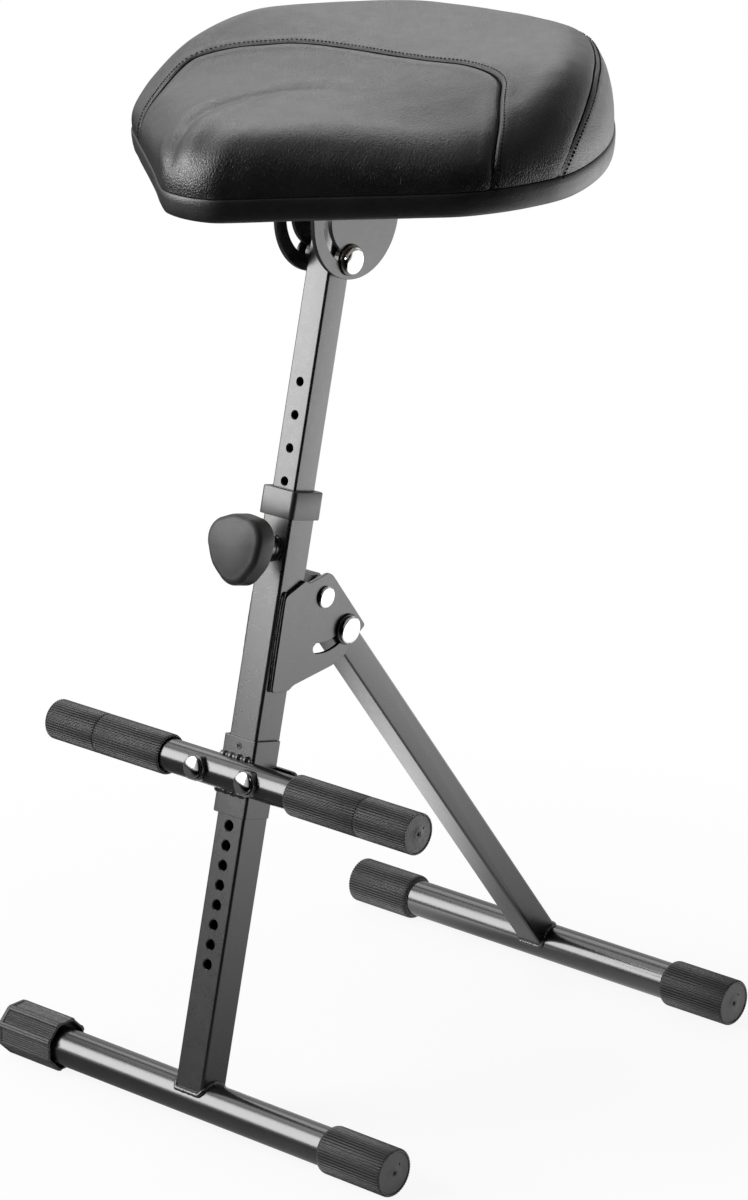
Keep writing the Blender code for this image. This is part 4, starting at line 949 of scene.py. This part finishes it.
def cover_loops(plan, rings):
    """Rings of the cover, drawn in from the trim line to the middle, in the seat's frame."""
    floor = RIM + BAND_HEIGHT + GAP
    centre = Vector((0.0, SEAT_CENTRE_V, 0.0))
    loops = []
    for k in range(rings):
        drawn = (k / rings) ** RING_POWER
        loop = []
        for p in plan:
            arm = p - centre
            reach = arm.length
            q = centre + arm * (1 - drawn)
            left = max(1 - drawn * reach / (CUSHION_ROUND + NOSE_ROUND * smooth(-p.y / NOSE_RUN)), 0.0)
            rise = (1 - left ** CUSHION_POWER) ** (1 / CUSHION_POWER)
            q += arm * (CUSHION_BULGE * sin(pi * min(rise, 1.0)) / reach)
            level = floor + (RIM + cover_level(q.x, q.y) - floor) * rise
            loop.append(Vector((q.x, q.y, level)))
        loops.append(loop)
    return loops


def on_cover(tree, points, count):
    """A smooth line through the given places, laid on the cover, with the cover's normals."""
    line = curve_through([(u, v, RIM + w) for u, v, w in points], count)
    found = [tree.find_nearest(p) for p in line]
    return [hit[0] for hit in found], [hit[1] for hit in found]


def stitches(name, line, normals, aside):
    """Short stitches beside a seam, standing a little out of the cover."""
    points, faces = [], []
    run, due = 0.0, STITCH_PITCH
    for i in range(1, len(line) - 1):
        run += (line[i] - line[i - 1]).length
        if run < due:
            continue
        due += STITCH_PITCH
        along = (line[i + 1] - line[i - 1]).normalized()
        up = normals[i]
        side = along.cross(up).normalized()
        loops = []
        for t, swell in ((-0.5, 0.3), (-0.42, 0.8), (-0.2, 1.0), (0.2, 1.0), (0.42, 0.8), (0.5, 0.3)):
            arch = up * (STITCH_RADIUS * (0.9 - 5.0 * t * t))
            at = line[i] + side * aside + along * (t * STITCH_LENGTH) + arch
            loops.append([at + (side * cos(a) + up * sin(a)) * STITCH_RADIUS * swell
                          for a in (pi * k / 4 for k in range(8))])
        more, quads = rows(loops)
        faces += [tuple(v + len(points) for v in quad) for quad in quads]
        points += more
    return shade(build(name, points, faces, SEAT), 60)


def shaped_cover(tree, seams):
    """The cover's rings with its sunken seams, its fold and slight unevenness."""
    near = kdtree.KDTree(sum(len(line) for line, _ in seams))
    for line, _ in seams:
        for p in line:
            near.insert(p, 0)
    near.balance()
    fold = kdtree.KDTree(FOLD_STEPS)
    for i, p in enumerate(on_cover(tree, FOLD_LINE, FOLD_STEPS)[0]):
        fold.insert(p, i)
    fold.balance()
    loops = []
    for k, ring in enumerate(cover_loops(inset(seat_plan(COVER_SEGMENTS), COVER_INSET), COVER_RINGS)):
        fade = smooth(k / EDGE_RINGS)
        loop = []
        for p in ring:
            normal = tree.find_nearest(p)[1]
            if normal.z < 0 or k == 0:
                normal = Vector((p.x, p.y - SEAT_CENTRE_V, 0.0)).normalized()
            off = near.find(p)[2]
            seam = PUFF_RISE * exp(-((off - PUFF_REACH) / PUFF_SPREAD) ** 2)
            seam -= SEAM_DEPTH * exp(-(off / SEAM_WIDTH) ** 2)
            crease = CREASE_DEPTH * noise.noise(Vector((p.x * 0.05, p.y * 0.05, p.z * 0.09)))
            _, i, away = fold.find(p)
            share = smooth(i / FOLD_START) * smooth((FOLD_STEPS - 1 - i) / FOLD_FADE)
            crest = FOLD_RISE * exp(-((away - FOLD_REACH) / FOLD_SPREAD) ** 2)
            crest = share * (crest - FOLD_DROP * exp(-(away / FOLD_WIDTH) ** 2))
            loop.append(tuple(p + normal * (seam * max(fade, EDGE_SHARE) + (crease + crest) * fade)))
        loops.append(loop)
    return loops


def make_cushion():
    tree = BVHTree.FromPolygons(*rows(cover_loops(inset(seat_plan(320), COVER_INSET), 90)))
    seams = [on_cover(tree, PANEL_SEAM, 900), on_cover(tree, END_SEAM, 1300)]
    cushion = shade(loft("cushion", shaped_cover(tree, seams), SEAT), 60)
    dress(cushion, "hide", "seat", "seat_cushion")
    for name, (line, normals) in zip(("panel", "end"), seams):
        sunk = [SEAT @ (p - up * (SEAM_DEPTH - SEAM_BEAD)) for p, up in zip(line, normals)]
        dress(bead("seam_" + name, sunk, SEAM_BEAD, sides=8), "thread", "seat")
        dress(stitches("stitching_" + name, line, normals, -STITCH_ASIDE), "thread", "seat")


def make_band():
    """Covered band round the board, with a bead where it meets the cover."""
    plan = seat_plan(480)
    steps = ((BAND_THICK, 0.0), (4.0, 0.0), (2.6, 0.8), (1.5, 3.0), (0.5, 8.0), (0.0, 13.5), (0.0, 17.6),
             (0.5, 18.9), (1.4, 19.6), (BAND_THICK, 19.8))
    loops = [[tuple(p + Vector((0, 0, RIM + level))) for p in inset(plan, drawn)] for drawn, level in steps]
    dress(shade(loft("band", loops, SEAT, ring=True), 60), "band", "seat", "seat_band")
    path = [SEAT @ (p + Vector((0, 0, RIM + BAND_HEIGHT - 0.1))) for p in inset(plan, 1.7)]
    dress(bead("trim_bead", path, 0.8, sides=10, closed=True), "thread", "seat")


make_tubes()
make_caps()
make_level_cap()
make_grips()
make_fold()
make_hinge()
make_lock()
make_knob()
make_footrest()
make_clamp()
make_welds()
make_cushion()
make_band()

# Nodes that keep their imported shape
SIDES = ("left", "right")
KEPT = {
    "plastic": ["post_glide"]
               + [piece + "_spacer_" + side for piece in ("pivot", "hinge", "clamp") for side in SIDES],
    "zinc": ["lock_pin", "lock_spindle", "seat_pivot_pin"]
            + ["seat_screw_" + end + "_" + side for end in ("front", "back") for side in SIDES],
    "rubber": ["rim_pad_" + end + "_" + side for end in ("nose", "side") for side in SIDES],
    "wood": ["seat_board"],
}
for kind, names in KEPT.items():
    for name in names:
        node = frame["nodes"][name]
        node.data.materials.clear()
        node.data.materials.append(FINISH[kind])

# Camera of the photograph
CAMERA_AT = Vector((2.3430, -2.66111, 1.59097))
CAMERA_AZIMUTH, CAMERA_ELEVATION = radians(41.41), radians(18.61)
CAMERA_LENS = 134.63
camera_data = bpy.data.cameras.new("camera")
camera_data.lens, camera_data.sensor_width, camera_data.sensor_fit = CAMERA_LENS, 36.0, "AUTO"
camera_data.clip_end = 50.0
camera = bpy.data.objects.new("camera", camera_data)
camera.location = CAMERA_AT
camera.rotation_euler = (pi / 2 - CAMERA_ELEVATION, 0.0, CAMERA_AZIMUTH)
bpy.context.scene.collection.objects.link(camera)
bpy.context.scene.camera = camera


# Studio: soft boxes, a white floor and a white room with a dark side behind the camera
def soft_box(name, at, aim, width, height, radiance):
    """An area light that looks at a height above the middle of the floor."""
    data = bpy.data.lights.new(name, "AREA")
    data.shape, data.size, data.size_y = "RECTANGLE", width, height
    data.energy = radiance * pi * width * height
    lamp = bpy.data.objects.new(name, data)
    lamp.location = at
    lamp.rotation_euler = (Vector((0.0, 0.0, aim)) - Vector(at)).to_track_quat("-Z", "Y").to_euler()
    lamp.visible_camera = False
    bpy.context.scene.collection.objects.link(lamp)


soft_box("left_box", (-1.82, -2.03, 1.88), 1.70, 1.75, 2.8, 7.0)
soft_box("rear_box", (1.0, 2.7, 1.5), 0.85, 1.8, 1.4, 0.5)
soft_box("high_box", (-1.65, 1.50, 2.25), 0.87, 1.7, 1.0, 2.0)
soft_box("top_box", (-1.50, -0.30, 2.75), 0.87, 1.3, 1.3, 1.8)
# Directions across the floor, and a pool of light beside the strut
FLOOR_FAR, FLOOR_NEAR, FLOOR_POOL = (0.85, 0.53, 0.0), (0.66, -0.75, 0.0), (-0.20, 0.07, 0.0)
# Shades of the room: a direction, and from where to where the level changes along it
ROOM_SHADES = (
    ((0.63, -0.70, 0.33), 0.40, 0.79, 0.66, 0.0),
    ((0.0, 0.0, 1.0), 0.35, 0.85, 1.0, 0.3),
    ((0.55, 0.80, 0.20), 0.55, 0.95, 1.0, 0.4),
)


def emptied(owner):
    """The node tree of a material or world, without nodes."""
    owner.use_nodes = True
    owner.node_tree.nodes.clear()
    return owner.node_tree


def make_floor():
    """A white floor: what polished parts see in it is shaded by place, and the eye sees it white."""
    size = 14.0
    mesh = bpy.data.meshes.new("floor")
    corners = [(-size, -size, 0), (size, -size, 0), (size, size, 0), (-size, size, 0)]
    mesh.from_pydata(corners, [], [(0, 1, 2, 3)])
    floor = bpy.data.objects.new("floor", mesh)
    bpy.context.scene.collection.objects.link(floor)
    material = bpy.data.materials.new("white_floor")
    tree = emptied(material)
    spot = add(tree, "TexCoord").outputs["Object"]
    rays = add(tree, "LightPath").outputs
    away = measured(tree, "LENGTH", spot)
    far = ramped(tree, measured(tree, "DOT_PRODUCT", spot, FLOOR_FAR), -0.5, 2.1, 0.1, 3.5)
    near = ramped(tree, measured(tree, "DOT_PRODUCT", spot, FLOOR_NEAR), 0.2, 0.8, 1.0, 0.0)
    pool = ramped(tree, measured(tree, "DISTANCE", spot, FLOOR_POOL), 0.0, 0.20, 2.8, 0.0)
    edge = ramped(tree, away, 2.6, 3.6, 1.0, 0.4, "LINEAR")
    white = ramped(tree, away, 0.2, 0.8, 0.89, 1.0, "LINEAR")
    mirror = maths(tree, "MULTIPLY", maths(tree, "MULTIPLY", maths(tree, "ADD", pool, far), edge), near)
    strength = add(tree, "Mix", rays["Is Glossy Ray"], None, 1.0, mirror).outputs["Result"]
    seen = maths(tree, "MULTIPLY_ADD", rays["Is Camera Ray"], white, rays["Is Glossy Ray"], use_clamp=True)
    matt = add(tree, "BsdfDiffuse", (0.9, 0.9, 0.9, 1.0)).outputs[0]
    glow = add(tree, "Emission", None, strength).outputs[0]
    mix = add(tree, "MixShader", seen, matt, glow).outputs[0]
    add(tree, "OutputMaterial", mix)
    mesh.materials.append(material)


def make_world():
    """A white room that polished parts see darker behind the camera, overhead and at the right rear."""
    world = bpy.data.worlds.new("studio")
    bpy.context.scene.world = world
    tree = emptied(world)
    way = add(tree, "TexCoord").outputs["Generated"]
    rays = add(tree, "LightPath").outputs
    dark, high, rear = [ramped(tree, measured(tree, "DOT_PRODUCT", way, towards), *change)
                        for towards, *change in ROOM_SHADES]
    level = maths(tree, "MULTIPLY", maths(tree, "MULTIPLY", dark, high), rear)
    seen = maths(tree, "MAXIMUM", rays["Is Camera Ray"], rays["Is Transmission Ray"])
    strength = add(tree, "Mix", seen, None, level, 1.0).outputs["Result"]
    sky = add(tree, "Background", (1.0, 1.0, 1.0, 1.0), strength).outputs[0]
    add(tree, "OutputWorld", sky)


make_floor()
make_world()
bpy.context.scene.view_settings.view_transform = "Standard"
